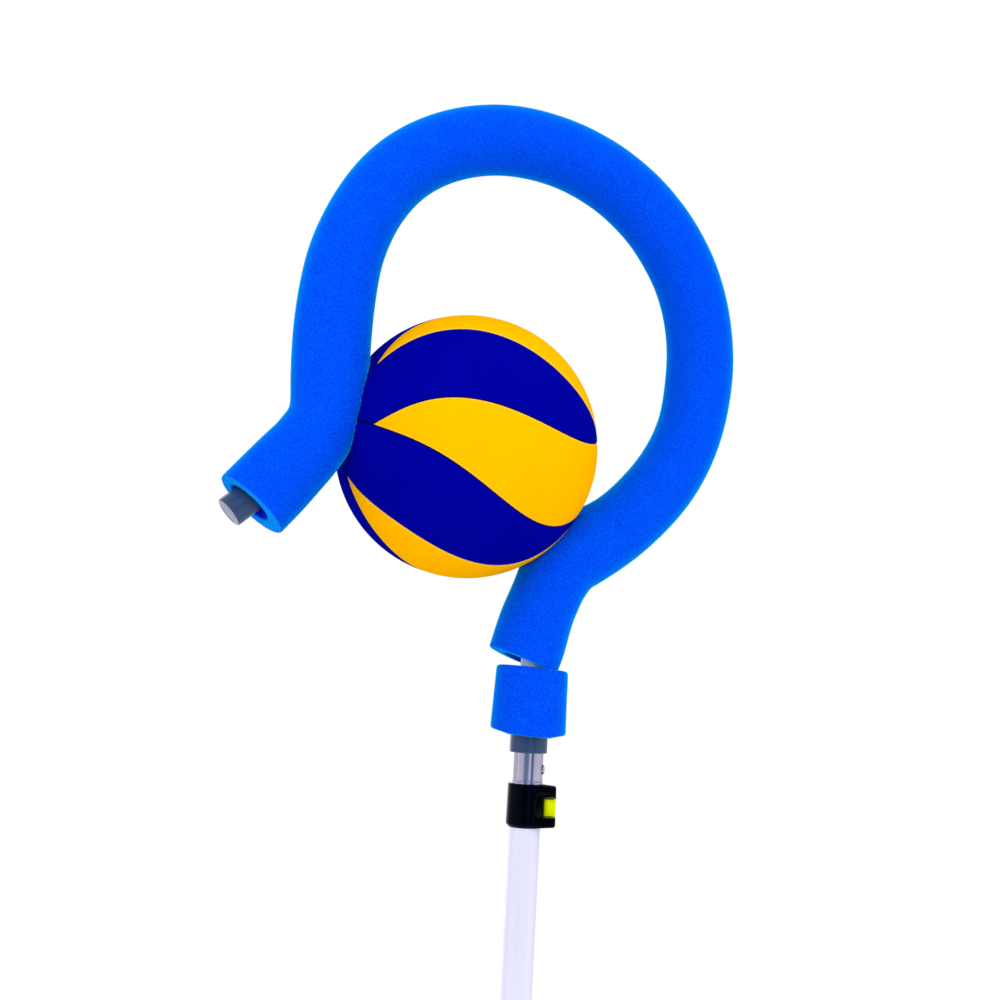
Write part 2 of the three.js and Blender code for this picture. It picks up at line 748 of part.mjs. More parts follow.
// The two edges of a yellow panel on one row, drawn in by half a seam. Past the far cusps each panel
// has a fifth of the ball, and near its own cusp the edges meet.
function panelEdges(polar_deg) {
  const clamped = Math.min(Math.max(polar_deg, cusp_deg), 180 - cusp_deg);
  let upper = seamLongitude(seam_middle_upper_deg, seam_upper_deg, clamped);
  let lower = seamLongitude(seam_middle_lower_deg, seam_lower_deg, clamped);
  const share_of_ball = 2 * Math.PI / panels_per_colour;
  if (polar_deg >= 180 - cusp_deg) {
    lower = upper - share_of_ball;
  }
  const draw_in = panel_seam / 2 / (ball_radius * Math.sin(radians(polar_deg)));
  const middle = (upper + lower) / 2;
  const half = Math.max((upper - lower) / 2 - draw_in, draw_in / 2);
  return [middle - half, middle + half];
}

function panelGeometry() {
  const rows = panelRows();
  const positions = [];
  for (const radius of [ball_radius, ball_radius - panel_thickness]) {
    for (const polar_deg of rows) {
      const [lower, upper] = panelEdges(polar_deg);
      for (let column = 0; column <= panel_columns; column += 1) {
        const longitude = lower + (upper - lower) * column / panel_columns;
        positions.push(...onBall(radius, polar_deg, longitude));
      }
    }
  }
  const index = [];
  const stride = panel_columns + 1;
  const at = (layer, row, column) => (layer * rows.length + row) * stride + column;
  const quad = (a, b, c, d) => index.push(a, b, c, a, c, d);
  const last = rows.length - 1;
  for (let row = 0; row < last; row += 1) {
    for (let column = 0; column < panel_columns; column += 1) {
      quad(at(0, row, column), at(0, row + 1, column), at(0, row + 1, column + 1), at(0, row, column + 1));
      quad(at(1, row, column), at(1, row, column + 1), at(1, row + 1, column + 1), at(1, row + 1, column));
    }
    quad(at(0, row, 0), at(1, row, 0), at(1, row + 1, 0), at(0, row + 1, 0));
    const edge = panel_columns;
    quad(at(0, row, edge), at(0, row + 1, edge), at(1, row + 1, edge), at(1, row, edge));
  }
  for (let column = 0; column < panel_columns; column += 1) {
    quad(at(0, 0, column), at(0, 0, column + 1), at(1, 0, column + 1), at(1, 0, column));
    quad(at(0, last, column), at(1, last, column), at(1, last, column + 1), at(0, last, column + 1));
  }
  const geometry = new THREE.BufferGeometry();
  geometry.setAttribute('position', new THREE.Float32BufferAttribute(positions, 3));
  geometry.setIndex(index);
  return geometry;
}

// A rod along a ray from the ball's centre through the valve
function alongValve(geometry) {
  return geometry.rotateY(radians(valve_tilt_deg)).rotateZ(radians(valve_spin_deg));
}

function ballPanels() {
  const valve_hole = alongValve(rod(needle_hole_radius + seat_gap, 0, ball_radius + cut_overrun));
  const share_of_ball = 2 * Math.PI / panels_per_colour;
  const panels = [];
  for (let number = 0; number < panels_per_colour; number += 1) {
    const yellow = panelGeometry().rotateZ(number * share_of_ball);
    // Half a turn about an axis square to the poles carries a yellow panel onto a navy one
    const navy = panelGeometry().rotateX(Math.PI);
    navy.rotateZ(radians(seam_middle_upper_deg * 2) + number * share_of_ball);
    panels.push(part(`ball_panel_yellow_${number + 1}`, cut(yellow, valve_hole), yellow_panel));
    panels.push(part(`ball_panel_navy_${number + 1}`, cut(navy, valve_hole), navy_panel));
  }
  return panels;
}

function ballBladder() {
  const outer = ball_radius - panel_thickness - bladder_gap;
  const inner = outer - bladder_thickness;
  const opening = valve_radius + seat_gap;
  const arc = (radius, from_end) => {
    const start = Math.asin(opening / radius);
    const points = [];
    for (let row = 0; row <= bladder_rows; row += 1) {
      const angle = start + (Math.PI - start) * row / bladder_rows;
      points.push([radius * Math.sin(angle), radius * Math.cos(angle)]);
    }
    points[bladder_rows][0] = 0;
    return from_end ? points.reverse() : points;
  };
  const outline = [...arc(outer, true), ...arc(inner, false)];
  return part('ball_bladder', alongValve(turned(outline, bladder_sides)), bladder_rubber);
}

function ballValve() {
  const top = ball_radius - panel_thickness - bladder_gap;
  const bottom = top - valve_depth;
  const outline = [[needle_hole_radius, bottom], [valve_radius, bottom], [valve_radius, top - slip_gap]];
  outline.push([needle_hole_radius, top], [needle_hole_radius, bottom]);
  return part('ball_valve', alongValve(turned(outline, small_sides)), bladder_rubber);
}

function ballGroup() {
  const spun = new THREE.Group();
  spun.rotation.z = radians(ball_spin_deg);
  spun.add(...ballPanels(), ballBladder(), ballValve());
  const group = new THREE.Group();
  group.rotation.order = 'ZYX';
  group.rotation.y = radians(ball_pole_tilt_deg);
  group.rotation.z = radians(ball_pole_yaw_deg);
  group.position.set(ball_offset_x, ball_offset_y, ball_height);
  group.add(spun);
  return group;
}

const trainer = new THREE.Group();
trainer.add(footCap(), handGrip(), clampGroup());
trainer.add(guidePlug(), buttonGroup());
trainer.add(headCoupling(), crossPin(), ...ferruleRivets());
trainer.add(hookTube(), hookFoam(), foamCollar(), tailEndCap());
trainer.add(ballGroup());

export default trainer;
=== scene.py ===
"""Looks of a volleyball spike trainer: a telescopic pole whose foam covered hook grips a ball.

Metres, +Z up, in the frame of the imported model. New pieces are surfaces worked out as whole arrays,
on a grid or along a path, and each function's docstring gives its formula.
"""

import math

import bmesh
import bpy
import numpy as np
from mathutils import Matrix, Vector


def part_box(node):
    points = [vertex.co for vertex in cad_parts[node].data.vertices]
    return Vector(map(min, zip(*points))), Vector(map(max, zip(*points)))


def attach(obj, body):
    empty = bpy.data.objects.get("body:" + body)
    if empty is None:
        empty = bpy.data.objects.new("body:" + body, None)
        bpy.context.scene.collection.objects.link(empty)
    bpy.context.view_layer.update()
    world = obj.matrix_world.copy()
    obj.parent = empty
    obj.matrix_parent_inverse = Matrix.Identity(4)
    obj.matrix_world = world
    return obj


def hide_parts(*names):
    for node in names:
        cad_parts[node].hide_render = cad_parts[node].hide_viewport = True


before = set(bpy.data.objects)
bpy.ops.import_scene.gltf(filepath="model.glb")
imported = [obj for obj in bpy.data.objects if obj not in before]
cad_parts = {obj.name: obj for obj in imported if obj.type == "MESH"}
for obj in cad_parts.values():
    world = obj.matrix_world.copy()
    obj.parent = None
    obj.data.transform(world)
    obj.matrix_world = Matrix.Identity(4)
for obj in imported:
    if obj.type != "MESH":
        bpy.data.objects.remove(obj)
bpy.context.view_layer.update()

MM = 0.001
FULL_TURN = 2 * math.pi

# Camera, from the ball's circle and the hook's outline in the photograph
CAMERA_PLACE = (-0.4656, -0.9653, 1.2897)
CAMERA_RIGHT = (0.9093, -0.4128, 0.0534)
CAMERA_UP = (-0.1039, -0.1009, 0.9894)
CAMERA_LENS = 47.76
CAMERA_SENSOR = 36.0
CAMERA_SHIFT = (-0.0005, 0.0005)

# Brightness of the even studio round the object, and softboxes of (name, place, sides, power)
STUDIO_LEVEL = 1.0
LIGHT_TARGET = (0, 0, 1.4)
SOFTBOXES = [("front_softbox", (-0.9, -2.3, 2.0), (1.8, 1.8), 24),
             ("top_softbox", (0.2, -0.2, 3.4), (1.6, 1.6), 6),
             ("right_softbox", (2.2, -1.0, 1.7), (1.2, 1.8), 1.5)]
FLOOR_RADIUS = 2.4

# Pole
OUTER_TUBE_RADIUS = 12.3 * MM
OUTER_TUBE_BORE = 11.1 * MM
INNER_TUBE_RADIUS = 10.8 * MM
INNER_TUBE_BORE = 9.6 * MM
TUBE_RIM_ROUND = 0.3 * MM
FERRULE_RADIUS = 12.35 * MM
FERRULE_BORE = 11.1 * MM
FLANGE_RADIUS = 13.0 * MM
FLANGE_HEIGHT = 3.6 * MM
BUTTON_AZIMUTH = math.radians(-34)
BUTTON_RADIUS = 3.9 * MM
BUTTON_PROUD = 0.9 * MM
COUPLING_RADIUS = 14.9 * MM

# Flip clamp
CLAMP_AZIMUTH = math.radians(-32)
CLAMP_RADIUS = 14.85 * MM
CLAMP_TAPER = 0.02
CLAMP_RIM = 0.8 * MM
CLAMP_BORE = 12.5 * MM
CLAMP_LIP_BORE = 11.1 * MM
EAR_REACH = 25.1 * MM
EAR_FRONT_WIDTH = 12.5 * MM
EAR_BACK_WIDTH = 5.6 * MM
EAR_SKEW = 0.12
LEVER_PIN_OFFSET = 19.2 * MM
LEVER_PIN_RADIUS = 1.6 * MM
LEVER_PIN_HEAD = 2.6 * MM
CAM_RADIUS = 4.0 * MM
CAM_OFFSET = 18.5 * MM
CAM_FAR_SIDE = 5.5 * MM
LEVER_ARC = 16.0 * MM
LEVER_HALF_THICKNESS = 1.2 * MM
LEVER_WRAP = (math.radians(27), math.radians(118))
RIVET_TURN = math.radians(150)
TOE_HEIGHT = 2.6 * MM
TOE_INSET = 2.3 * MM
TOE_RISE = 1.9 * MM

# Hook: start of each centreline, then (length or radius, degrees turned to the left) of each stretch
HOOK_TUBE_RADIUS = 9.5 * MM
HOOK_TUBE_WALL = 1.2 * MM
FOAM_RADIUS = 28.8 * MM
FOAM_BORE = 9.8 * MM
FOAM_START = (-9.99 * MM, 1307.2 * MM)
FOAM_LEAN = math.radians(19.57)
FOAM_CUT_LEAN = 0.08
FOAM_LOWER = [(62.54 * MM, None), (75.97 * MM, -44.6)]
SHARED_BENDS = [(174.7 * MM, 104.5), (164.6 * MM, 132.1), (406.9 * MM, 7.5), (39.5 * MM, None)]
FOAM_TAIL = [(82.4 * MM, -39.6), (52.0 * MM, None)]
TUBE_LOWER_BEND = 82.0 * MM
TUBE_TAIL = [(89.0 * MM, -48.0), (47.6 * MM, None)]

# Millimetres that the foam stands out of an even sleeve: (arc length, move) on its left and right
LEFT_SWELL = [(0, -0.8), (30, 0.6), (64, -0.7), (100, 0), (140, 0), (180, 1.5), (268, 0.2), (304, 1.2),
              (344, -0.2), (385, -1.8), (436, -1.2), (500, 0.2), (540, 1), (592, 1.1), (640, -0.3),
              (712, -2.2), (784, 0.3), (856, 2.2), (960, 0.4), (1000, 2.1), (1020, 2.1)]
RIGHT_SWELL = [(0, 1.4), (10, 1.7), (44, -0.6), (75, 1.5), (84, 2), (100, 4.3), (114, 4.9), (140, 2.1),
               (164, 0.1), (220, -0.6), (280, -1.2), (340, 0), (400, 1.5), (460, 0.5), (508, -1.1),
               (560, -2.3), (616, -1.1), (664, -0.1), (712, 0.7), (772, -0.7), (845, 0.5), (890, 0.3),
               (920, -1.6), (935, -2.9), (948, -1.3), (964, -0.1), (1000, 0.6), (1020, 0.5)]

# Collar, with the line (x, y) at whose two ends its lower edge bends up, and end cap
COLLAR_BORE = 15.2 * MM
COLLAR_SLOPE = 0.06
COLLAR_SIDE = (0.911, -0.413)
END_CAP_RADIUS = 12.0 * MM

# Ball; where a panel starts and ends, its seams' middles and their series are in degrees
BALL_RADIUS = 105.0 * MM
BALL_CENTRE = np.array([-65.2, 7.0, 1474.3]) * MM
BALL_TO_FOAM = 0.15 * MM
PANEL_THICKNESS = 1.7 * MM
PANELS_PER_COLOUR = 5
CUSP = 26.0
PANEL_END = 179.9
SEAM_MIDDLE_UPPER = 17.8
SEAM_MIDDLE_LOWER = -18.2
SEAM_UPPER = (8.96, -19.98, -9.82)
SEAM_LOWER = (27.26, -18.63, 6.53)
BALL_YAW = math.radians(180.1)
BALL_TILT = math.radians(83.1)
BALL_SPIN = math.radians(78.0)
VALVE_TILT = math.radians(96)
VALVE_SPIN = math.radians(160)


def bottom_of(node):
    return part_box(node)[0].z


def top_of(node):
    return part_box(node)[1].z


def middle_of(node):
    return (bottom_of(node) + top_of(node)) / 2


# Grids, profiles and paths


def grid_faces(rows, columns, wrap_rows=False):
    """Quads that join each point of a grid to its neighbours. Columns close round, and rows where asked."""
    row_count = rows if wrap_rows else rows - 1
    row, column = np.meshgrid(np.arange(row_count), np.arange(columns), indexing="ij")
    next_row = (row + 1) % rows
    next_column = (column + 1) % columns
    corners = [row * columns + column, row * columns + next_column,
               next_row * columns + next_column, next_row * columns + column]
    return np.stack(corners, -1).reshape(-1, 4)


def rounded(corners, steps=5):
    """A profile whose corners (radius, height, fillet) are rounded by arcs tangent to both sides.

    Each arc is a quadratic curve between its tangent points with the corner as its middle control
    point, and one more point on each side holds the flat stretch flat."""
    places = np.array([corner[:2] for corner in corners], float)
    fillets = [corner[2] for corner in corners]
    profile = []
    for number, place in enumerate(places):
        before = places[number - 1] - place
        after = places[(number + 1) % len(places)] - place
        ends = number in (0, len(places) - 1)
        if ends or fillets[number] == 0:
            profile.append(place)
            continue
        before_length, after_length = np.hypot(*before), np.hypot(*after)
        reach = min(fillets[number], 0.46 * before_length, 0.46 * after_length)
        before, after = before / before_length, after / after_length
        share = np.linspace(0, 1, steps + 1)[:, None]
        arc = place + before * reach * (1 - share) ** 2 + after * reach * share ** 2
        hold = min(0.3 * reach, 0.04 * before_length, 0.04 * after_length)
        profile += [place + before * (reach + hold), *arc, place + after * (reach + hold)]
    return np.array(profile)


def through(knots, along):
    """Values of a smooth curve through knots (place, value): on each span a cubic from the values and
    slopes at its two ends, each slope being the mean rise of the spans beside it."""
    place, value = np.array(knots, float).T
    slope = np.gradient(value, place)
    along = np.clip(along, place[0], place[-1])
    span = np.clip(np.searchsorted(place, along) - 1, 0, len(place) - 2)
    width = place[span + 1] - place[span]
    share = (along - place[span]) / width
    start = (1 + 2 * share) * (1 - share) ** 2 * value[span] + share * (1 - share) ** 2 * width * slope[span]
    end = share ** 2 * (3 - 2 * share) * value[span + 1] - share ** 2 * (1 - share) * width * slope[span + 1]
    return start + end


def turned(profile, sides=96):
    """Points (r cos a, r sin a, z) for each (r, z) of a profile and each of sides even angles a."""
    angle = np.arange(sides) * FULL_TURN / sides
    radius, height = profile[:, :1], profile[:, 1:]
    return np.stack([radius * np.cos(angle), radius * np.sin(angle), height + 0 * angle], -1)


def follow(start, lean, stretches, along):
    """Place (x, z) and heading at arc lengths along a centreline of straights and even bends.

    On a stretch of curvature k the heading is h + k s, so x grows by (sin(h + k s) - sin h) / k and
    z by (cos h - cos(h + k s)) / k; the first and last stretches run on past their ends."""
    x, z = start
    heading = math.pi / 2 - lean
    place = np.zeros((3, len(along)))
    travelled = 0.0
    for number, (size, turn) in enumerate(stretches):
        length = size if turn is None else size * math.radians(abs(turn))
        curvature = 0.0 if turn is None else math.copysign(1 / size, turn)
        first, last = number == 0, number == len(stretches) - 1
        here = (along >= travelled) | first
        here &= (along <= travelled + length) | last

        def run(distance):
            if curvature == 0:
                across, rise = distance * math.cos(heading), distance * math.sin(heading)
                return x + across, z + rise, heading + 0 * distance
            new = heading + curvature * distance
            across = (np.sin(new) - math.sin(heading)) / curvature
            rise = (math.cos(heading) - np.cos(new)) / curvature
            return x + across, z + rise, new

        place[:, here] = np.array(run(along[here] - travelled))
        x, z, heading = run(length)
        travelled += length
    return place


def path_length(stretches):
    return sum(size if turn is None else size * math.radians(abs(turn)) for size, turn in stretches)


def sleeve_points(place, radius, sides):
    """Rings of points round a centreline in the XZ plane: r(cos a n + sin a y) from each place, with n to
    the left of the way ahead."""
    angle = np.arange(sides) * FULL_TURN / sides
    x, z, heading = (row[:, None] for row in place)
    out, aside = radius * np.cos(angle), radius * np.sin(angle)
    return np.stack([x - out * np.sin(heading), aside + 0 * x, z + out * np.cos(heading)], -1)


def smooth(low, high, value):
    """0 at low and before it, 1 at high and past it, and 3t^2 - 2t^3 between."""
    share = np.clip((value - low) / (high - low), 0, 1)
    return share * share * (3 - 2 * share)


def piece(name, grid, material, body, replaced=(), wrap_rows=False, faces=None, marks=()):
    """A closed mesh of a grid of points: doubles merged, and faces outwards by the sign of its volume.

    Marks are (name, values) pairs that become attributes of its points."""
    points = grid.reshape(-1, 3)
    if faces is None:
        faces = grid_faces(grid.shape[0], grid.shape[1], wrap_rows)
    mesh = bpy.data.meshes.new(name)
    mesh.from_pydata(points, [], faces)
    for label, values in marks:
        mesh.attributes.new(label, "FLOAT", "POINT").data.foreach_set("value", np.ravel(values))
    body_mesh = bmesh.new()
    body_mesh.from_mesh(mesh)
    bmesh.ops.remove_doubles(body_mesh, verts=body_mesh.verts, dist=1e-6)
    if body_mesh.calc_volume(signed=True) < 0:
        bmesh.ops.reverse_faces(body_mesh, faces=body_mesh.faces)
    body_mesh.to_mesh(mesh)
    body_mesh.free()
    mesh.shade_smooth()
    mesh.materials.append(material)
    made = bpy.data.objects.new(name, mesh)
    bpy.context.scene.collection.objects.link(made)
    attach(made, body)
    if replaced:
        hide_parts(*replaced)
    return made


def placed(grid, matrix):
    """Each point of a grid carried by a 4 by 4 matrix."""
    matrix = np.array(matrix)
    return grid @ matrix[:3, :3].T + matrix[:3, 3]


# Node trees


def add(tree, kind, inputs=None, **settings):
    """A node with its settings, and its inputs linked to sockets or set to values."""
    node = tree.nodes.new(kind)
    for name, value in settings.items():
        setattr(node, name, value)
    for name, value in (inputs or {}).items():
        if isinstance(value, bpy.types.NodeSocket):
            tree.links.new(value, node.inputs[name])
        else:
            node.inputs[name].default_value = value
    return node


def sum_of(tree, operation, first, second):
    return add(tree, "ShaderNodeMath", {0: first, 1: second}, operation=operation).outputs[0]


def mixed(tree, factor, first, second):
    """A colour between two colours."""
    node = add(tree, "ShaderNodeMix", data_type="RGBA")
    for number, value in ((0, factor), (6, first), (7, second)):
        if isinstance(value, bpy.types.NodeSocket):
            tree.links.new(value, node.inputs[number])
        else:
            node.inputs[number].default_value = value
    return node.outputs[2]


def ranged(tree, value, from_low, from_high, to_low, to_high):
    """A value carried from one range onto another, held inside it."""
    ends = {"From Min": from_low, "From Max": from_high, "To Min": to_low, "To Max": to_high}
    return add(tree, "ShaderNodeMapRange", {"Value": value, **ends}, clamp=True).outputs["Result"]


def effect(name, sizes, results):
    """An empty shader node group, with sizes as (name, value) inputs and results as (name, kind) outputs."""
    tree = bpy.data.node_groups.new(name, "ShaderNodeTree")
    tree.interface.new_socket("Vector", in_out="INPUT", socket_type="NodeSocketVector")
    for label, value in sizes:
        socket = tree.interface.new_socket(label, in_out="INPUT", socket_type="NodeSocketFloat")
        socket.default_value = value
    for label, kind in results:
        tree.interface.new_socket(label, in_out="OUTPUT", socket_type=f"NodeSocket{kind}")
    return tree, tree.nodes.new("NodeGroupInput"), tree.nodes.new("NodeGroupOutput")


def sponge_effect():
    """Open cells of sponge: pits where a fine cell pattern and a noise are both low."""
    tree, given, result = effect(
        "sponge_cells", [("Cells", 900.0), ("Blotches", 120.0)], [("Height", "Float"), ("Shade", "Float")])
    place, fine = given.outputs["Vector"], given.outputs["Cells"]
    cells = add(tree, "ShaderNodeTexVoronoi", {"Vector": place, "Scale": fine, "Randomness": 1.0},
                feature="F1")
    grain = add(tree, "ShaderNodeTexNoise", {"Vector": place, "Scale": fine, "Detail": 2.0, "Roughness": 0.7})
    blotch = add(tree, "ShaderNodeTexNoise", {"Vector": place, "Scale": given.outputs["Blotches"],
                                              "Detail": 4.0, "Roughness": 0.65})
    height = sum_of(tree, "ADD", cells.outputs["Distance"], grain.outputs["Fac"])
    mottled = sum_of(tree, "ADD", sum_of(tree, "MULTIPLY", grain.outputs["Fac"], 0.95),
                     sum_of(tree, "MULTIPLY", blotch.outputs["Fac"], 0.15))
    tree.links.new(height, result.inputs["Height"])
    tree.links.new(mottled, result.inputs["Shade"])
    return tree


def grain_effect():
    """Fine moulded or leather grain: rounded cells, with a slow variation for colour and gloss."""
    tree, given, result = effect(
        "fine_grain", [("Cells", 800.0), ("Patches", 40.0)], [("Height", "Float"), ("Variation", "Float")])
    place = given.outputs["Vector"]
    cells = add(tree, "ShaderNodeTexVoronoi",
                {"Vector": place, "Scale": given.outputs["Cells"], "Smoothness": 0.6}, feature="SMOOTH_F1")
    patches = add(tree, "ShaderNodeTexNoise", {"Vector": place, "Scale": given.outputs["Patches"],
                                               "Detail": 5.0, "Roughness": 0.6})
    tree.links.new(cells.outputs["Distance"], result.inputs["Height"])
    tree.links.new(patches.outputs["Fac"], result.inputs["Variation"])
    return tree


def drawn_effect():
    """Lines of drawn metal along Z: a noise that changes fast across the pole and slowly along it."""
    tree, given, result = effect(
        "drawn_lines", [("Across", 900.0), ("Along", 6.0)], [("Height", "Float"), ("Variation", "Float")])
    scale = add(tree, "ShaderNodeCombineXYZ", {"X": given.outputs["Across"], "Y": given.outputs["Across"],
                                               "Z": given.outputs["Along"]})
    stretched = add(tree, "ShaderNodeVectorMath", {0: given.outputs["Vector"], 1: scale.outputs[0]},
                    operation="MULTIPLY")
    lines = add(tree, "ShaderNodeTexNoise", {"Vector": stretched.outputs[0], "Scale": 1.0, "Detail": 3.0})
    wide = add(tree, "ShaderNodeTexNoise", {"Vector": given.outputs["Vector"], "Scale": 30.0, "Detail": 3.0})
    tree.links.new(lines.outputs["Fac"], result.inputs["Height"])
    tree.links.new(wide.outputs["Fac"], result.inputs["Variation"])
    return tree


def dimple_effect():
    """Dimples in a honeycomb: the sum of three cosines whose waves run 60 degrees apart, 1 at each middle."""
    tree, given, result = effect("dimple_rows", [("Pitch", 2.7)], [("Height", "Float")])
    total = None
    for turn in (0.0, FULL_TURN / 6, FULL_TURN / 3):
        way = (math.cos(turn) * 4 * math.pi / math.sqrt(3), math.sin(turn) * 4 * math.pi / math.sqrt(3), 0)
        phase = add(tree, "ShaderNodeVectorMath", {0: given.outputs["Vector"], 1: way},
                    operation="DOT_PRODUCT").outputs["Value"]
        wave = add(tree, "ShaderNodeMath", {0: sum_of(tree, "DIVIDE", phase, given.outputs["Pitch"])},
                   operation="COSINE").outputs[0]
        total = wave if total is None else sum_of(tree, "ADD", total, wave)
    tree.links.new(ranged(tree, total, 0.6, 2.8, 0.0, 1.0), result.inputs["Height"])
    return tree


EFFECTS = {"sponge": sponge_effect(), "grain": grain_effect(), "drawn": drawn_effect(),
           "dimples": dimple_effect()}


def finish(name, **fixed):
    """A material with its Principled BSDF set, and its tree and Object coordinates at hand."""
    material = bpy.data.materials.new(name)
    material.use_nodes = True
    tree = material.node_tree
    surface = tree.nodes["Principled BSDF"]
    for label, value in fixed.items():
        surface.inputs[label.replace("_", " ")].default_value = value
    place = tree.nodes.new("ShaderNodeTexCoord").outputs["Object"]
    return material, tree, surface, place


def use_effect(tree, name, place, **sizes):
    node = tree.nodes.new("ShaderNodeGroup")
    node.node_tree = EFFECTS[name]
    tree.links.new(place, node.inputs["Vector"])
    for label, value in sizes.items():
        node.inputs[label].default_value = value
    return node


def bumped(tree, surface, height, distance, strength=1.0):
    node = add(tree, "ShaderNodeBump", {"Height": height, "Distance": distance, "Strength": strength})
    tree.links.new(node.outputs["Normal"], surface.inputs["Normal"])
    return node


def mark_of(tree, name):
    """The value of a mark that a piece gives its points, and 0 on a piece without it."""
    return add(tree, "ShaderNodeAttribute", attribute_name=name).outputs["Fac"]


def linear(red, green, blue):
    """A linear colour from one written in 0 to 255 steps of sRGB."""
    steps = np.array([red, green, blue]) / 255
    values = np.where(steps <= 0.04045, steps / 12.92, ((steps + 0.055) / 1.055) ** 2.4)
    return (*values.tolist(), 1.0)


def foam_finish():
    """Sponge with a lighter sliced face and a deeper blue bore, told apart by the mark inward, which runs
    from 0 on the skin to 1 in the bore."""
    material, tree, surface, place = finish(
        "blue_sponge", Roughness=0.95, Sheen_Weight=1.0, Sheen_Roughness=0.35,
        Sheen_Tint=linear(0, 210, 255), Specular_IOR_Level=0.0)
    sponge = use_effect(tree, "sponge", place, Cells=800.0, Blotches=90.0)
    shade = ranged(tree, sponge.outputs["Shade"], 0.38, 0.72, 0.0, 1.0)
    skin = mixed(tree, shade, linear(2, 54, 211), linear(2, 87, 241))
    sliced = mixed(tree, shade, linear(2, 80, 246), linear(24, 120, 255))
    inward = mark_of(tree, "inward")
    cut = mixed(tree, ranged(tree, inward, 0.01, 0.09, 0.0, 1.0), skin, sliced)
    colour = mixed(tree, ranged(tree, inward, 0.96, 0.995, 0.0, 1.0), cut, linear(0, 14, 255))
    tree.links.new(colour, surface.inputs["Base Color"])
    bumped(tree, surface, sponge.outputs["Height"], 0.35 * MM, 0.8)
    return material


def tube_finish(name, dark, light, metallic):
    material, tree, surface, place = finish(name, Metallic=metallic, Specular_IOR_Level=0.3)
    drawn = use_effect(tree, "drawn", place, Across=1400.0, Along=5.0)
    colour = mixed(tree, drawn.outputs["Variation"], dark, light)
    tree.links.new(colour, surface.inputs["Base Color"])
    tree.links.new(ranged(tree, drawn.outputs["Height"], 0.3, 0.7, 0.36, 0.5), surface.inputs["Roughness"])
    bumped(tree, surface, drawn.outputs["Height"], 0.02 * MM, 0.5)
    return material


def bright_finish():
    material, tree, surface, place = finish("bright_plating", Metallic=1.0)
    drawn = use_effect(tree, "drawn", place, Across=1000.0, Along=8.0)
    colour = mixed(tree, drawn.outputs["Variation"], linear(176, 172, 188), linear(206, 202, 220))
    tree.links.new(colour, surface.inputs["Base Color"])
    tree.links.new(ranged(tree, drawn.outputs["Height"], 0.3, 0.7, 0.1, 0.24), surface.inputs["Roughness"])
    bumped(tree, surface, drawn.outputs["Height"], 0.04 * MM, 0.6)
    return material


def steel_finish():
    material, tree, surface, place = finish("turned_steel", Metallic=1.0)
    grain = use_effect(tree, "grain", place, Cells=2500.0, Patches=300.0)
    colour = mixed(tree, grain.outputs["Variation"], linear(150, 150, 158), linear(214, 214, 222))
    tree.links.new(colour, surface.inputs["Base Color"])
    gloss = ranged(tree, grain.outputs["Variation"], 0.3, 0.7, 0.18, 0.35)
    tree.links.new(gloss, surface.inputs["Roughness"])
    bumped(tree, surface, grain.outputs["Height"], 0.02 * MM, 0.4)
    return material


def moulded_finish(name, dark, light, roughness, cells, depth, shine=0.5, tint=(1, 1, 1, 1)):
    """Moulded plastic or rubber: two near colours in slow patches, uneven gloss and a fine grain.

    Where a piece has the mark matt, it is rougher."""
    material, tree, surface, place = finish(name, Specular_IOR_Level=shine, Specular_Tint=tint)
    grain = use_effect(tree, "grain", place, Cells=cells, Patches=60.0)
    tree.links.new(mixed(tree, grain.outputs["Variation"], dark, light), surface.inputs["Base Color"])
    low, high = roughness
    even = ranged(tree, grain.outputs["Variation"], 0.3, 0.7, low, high)
    matt = mark_of(tree, "matt")
    tree.links.new(sum_of(tree, "MAXIMUM", even, matt), surface.inputs["Roughness"])
    bumped(tree, surface, grain.outputs["Height"], depth, 0.5)
    return material


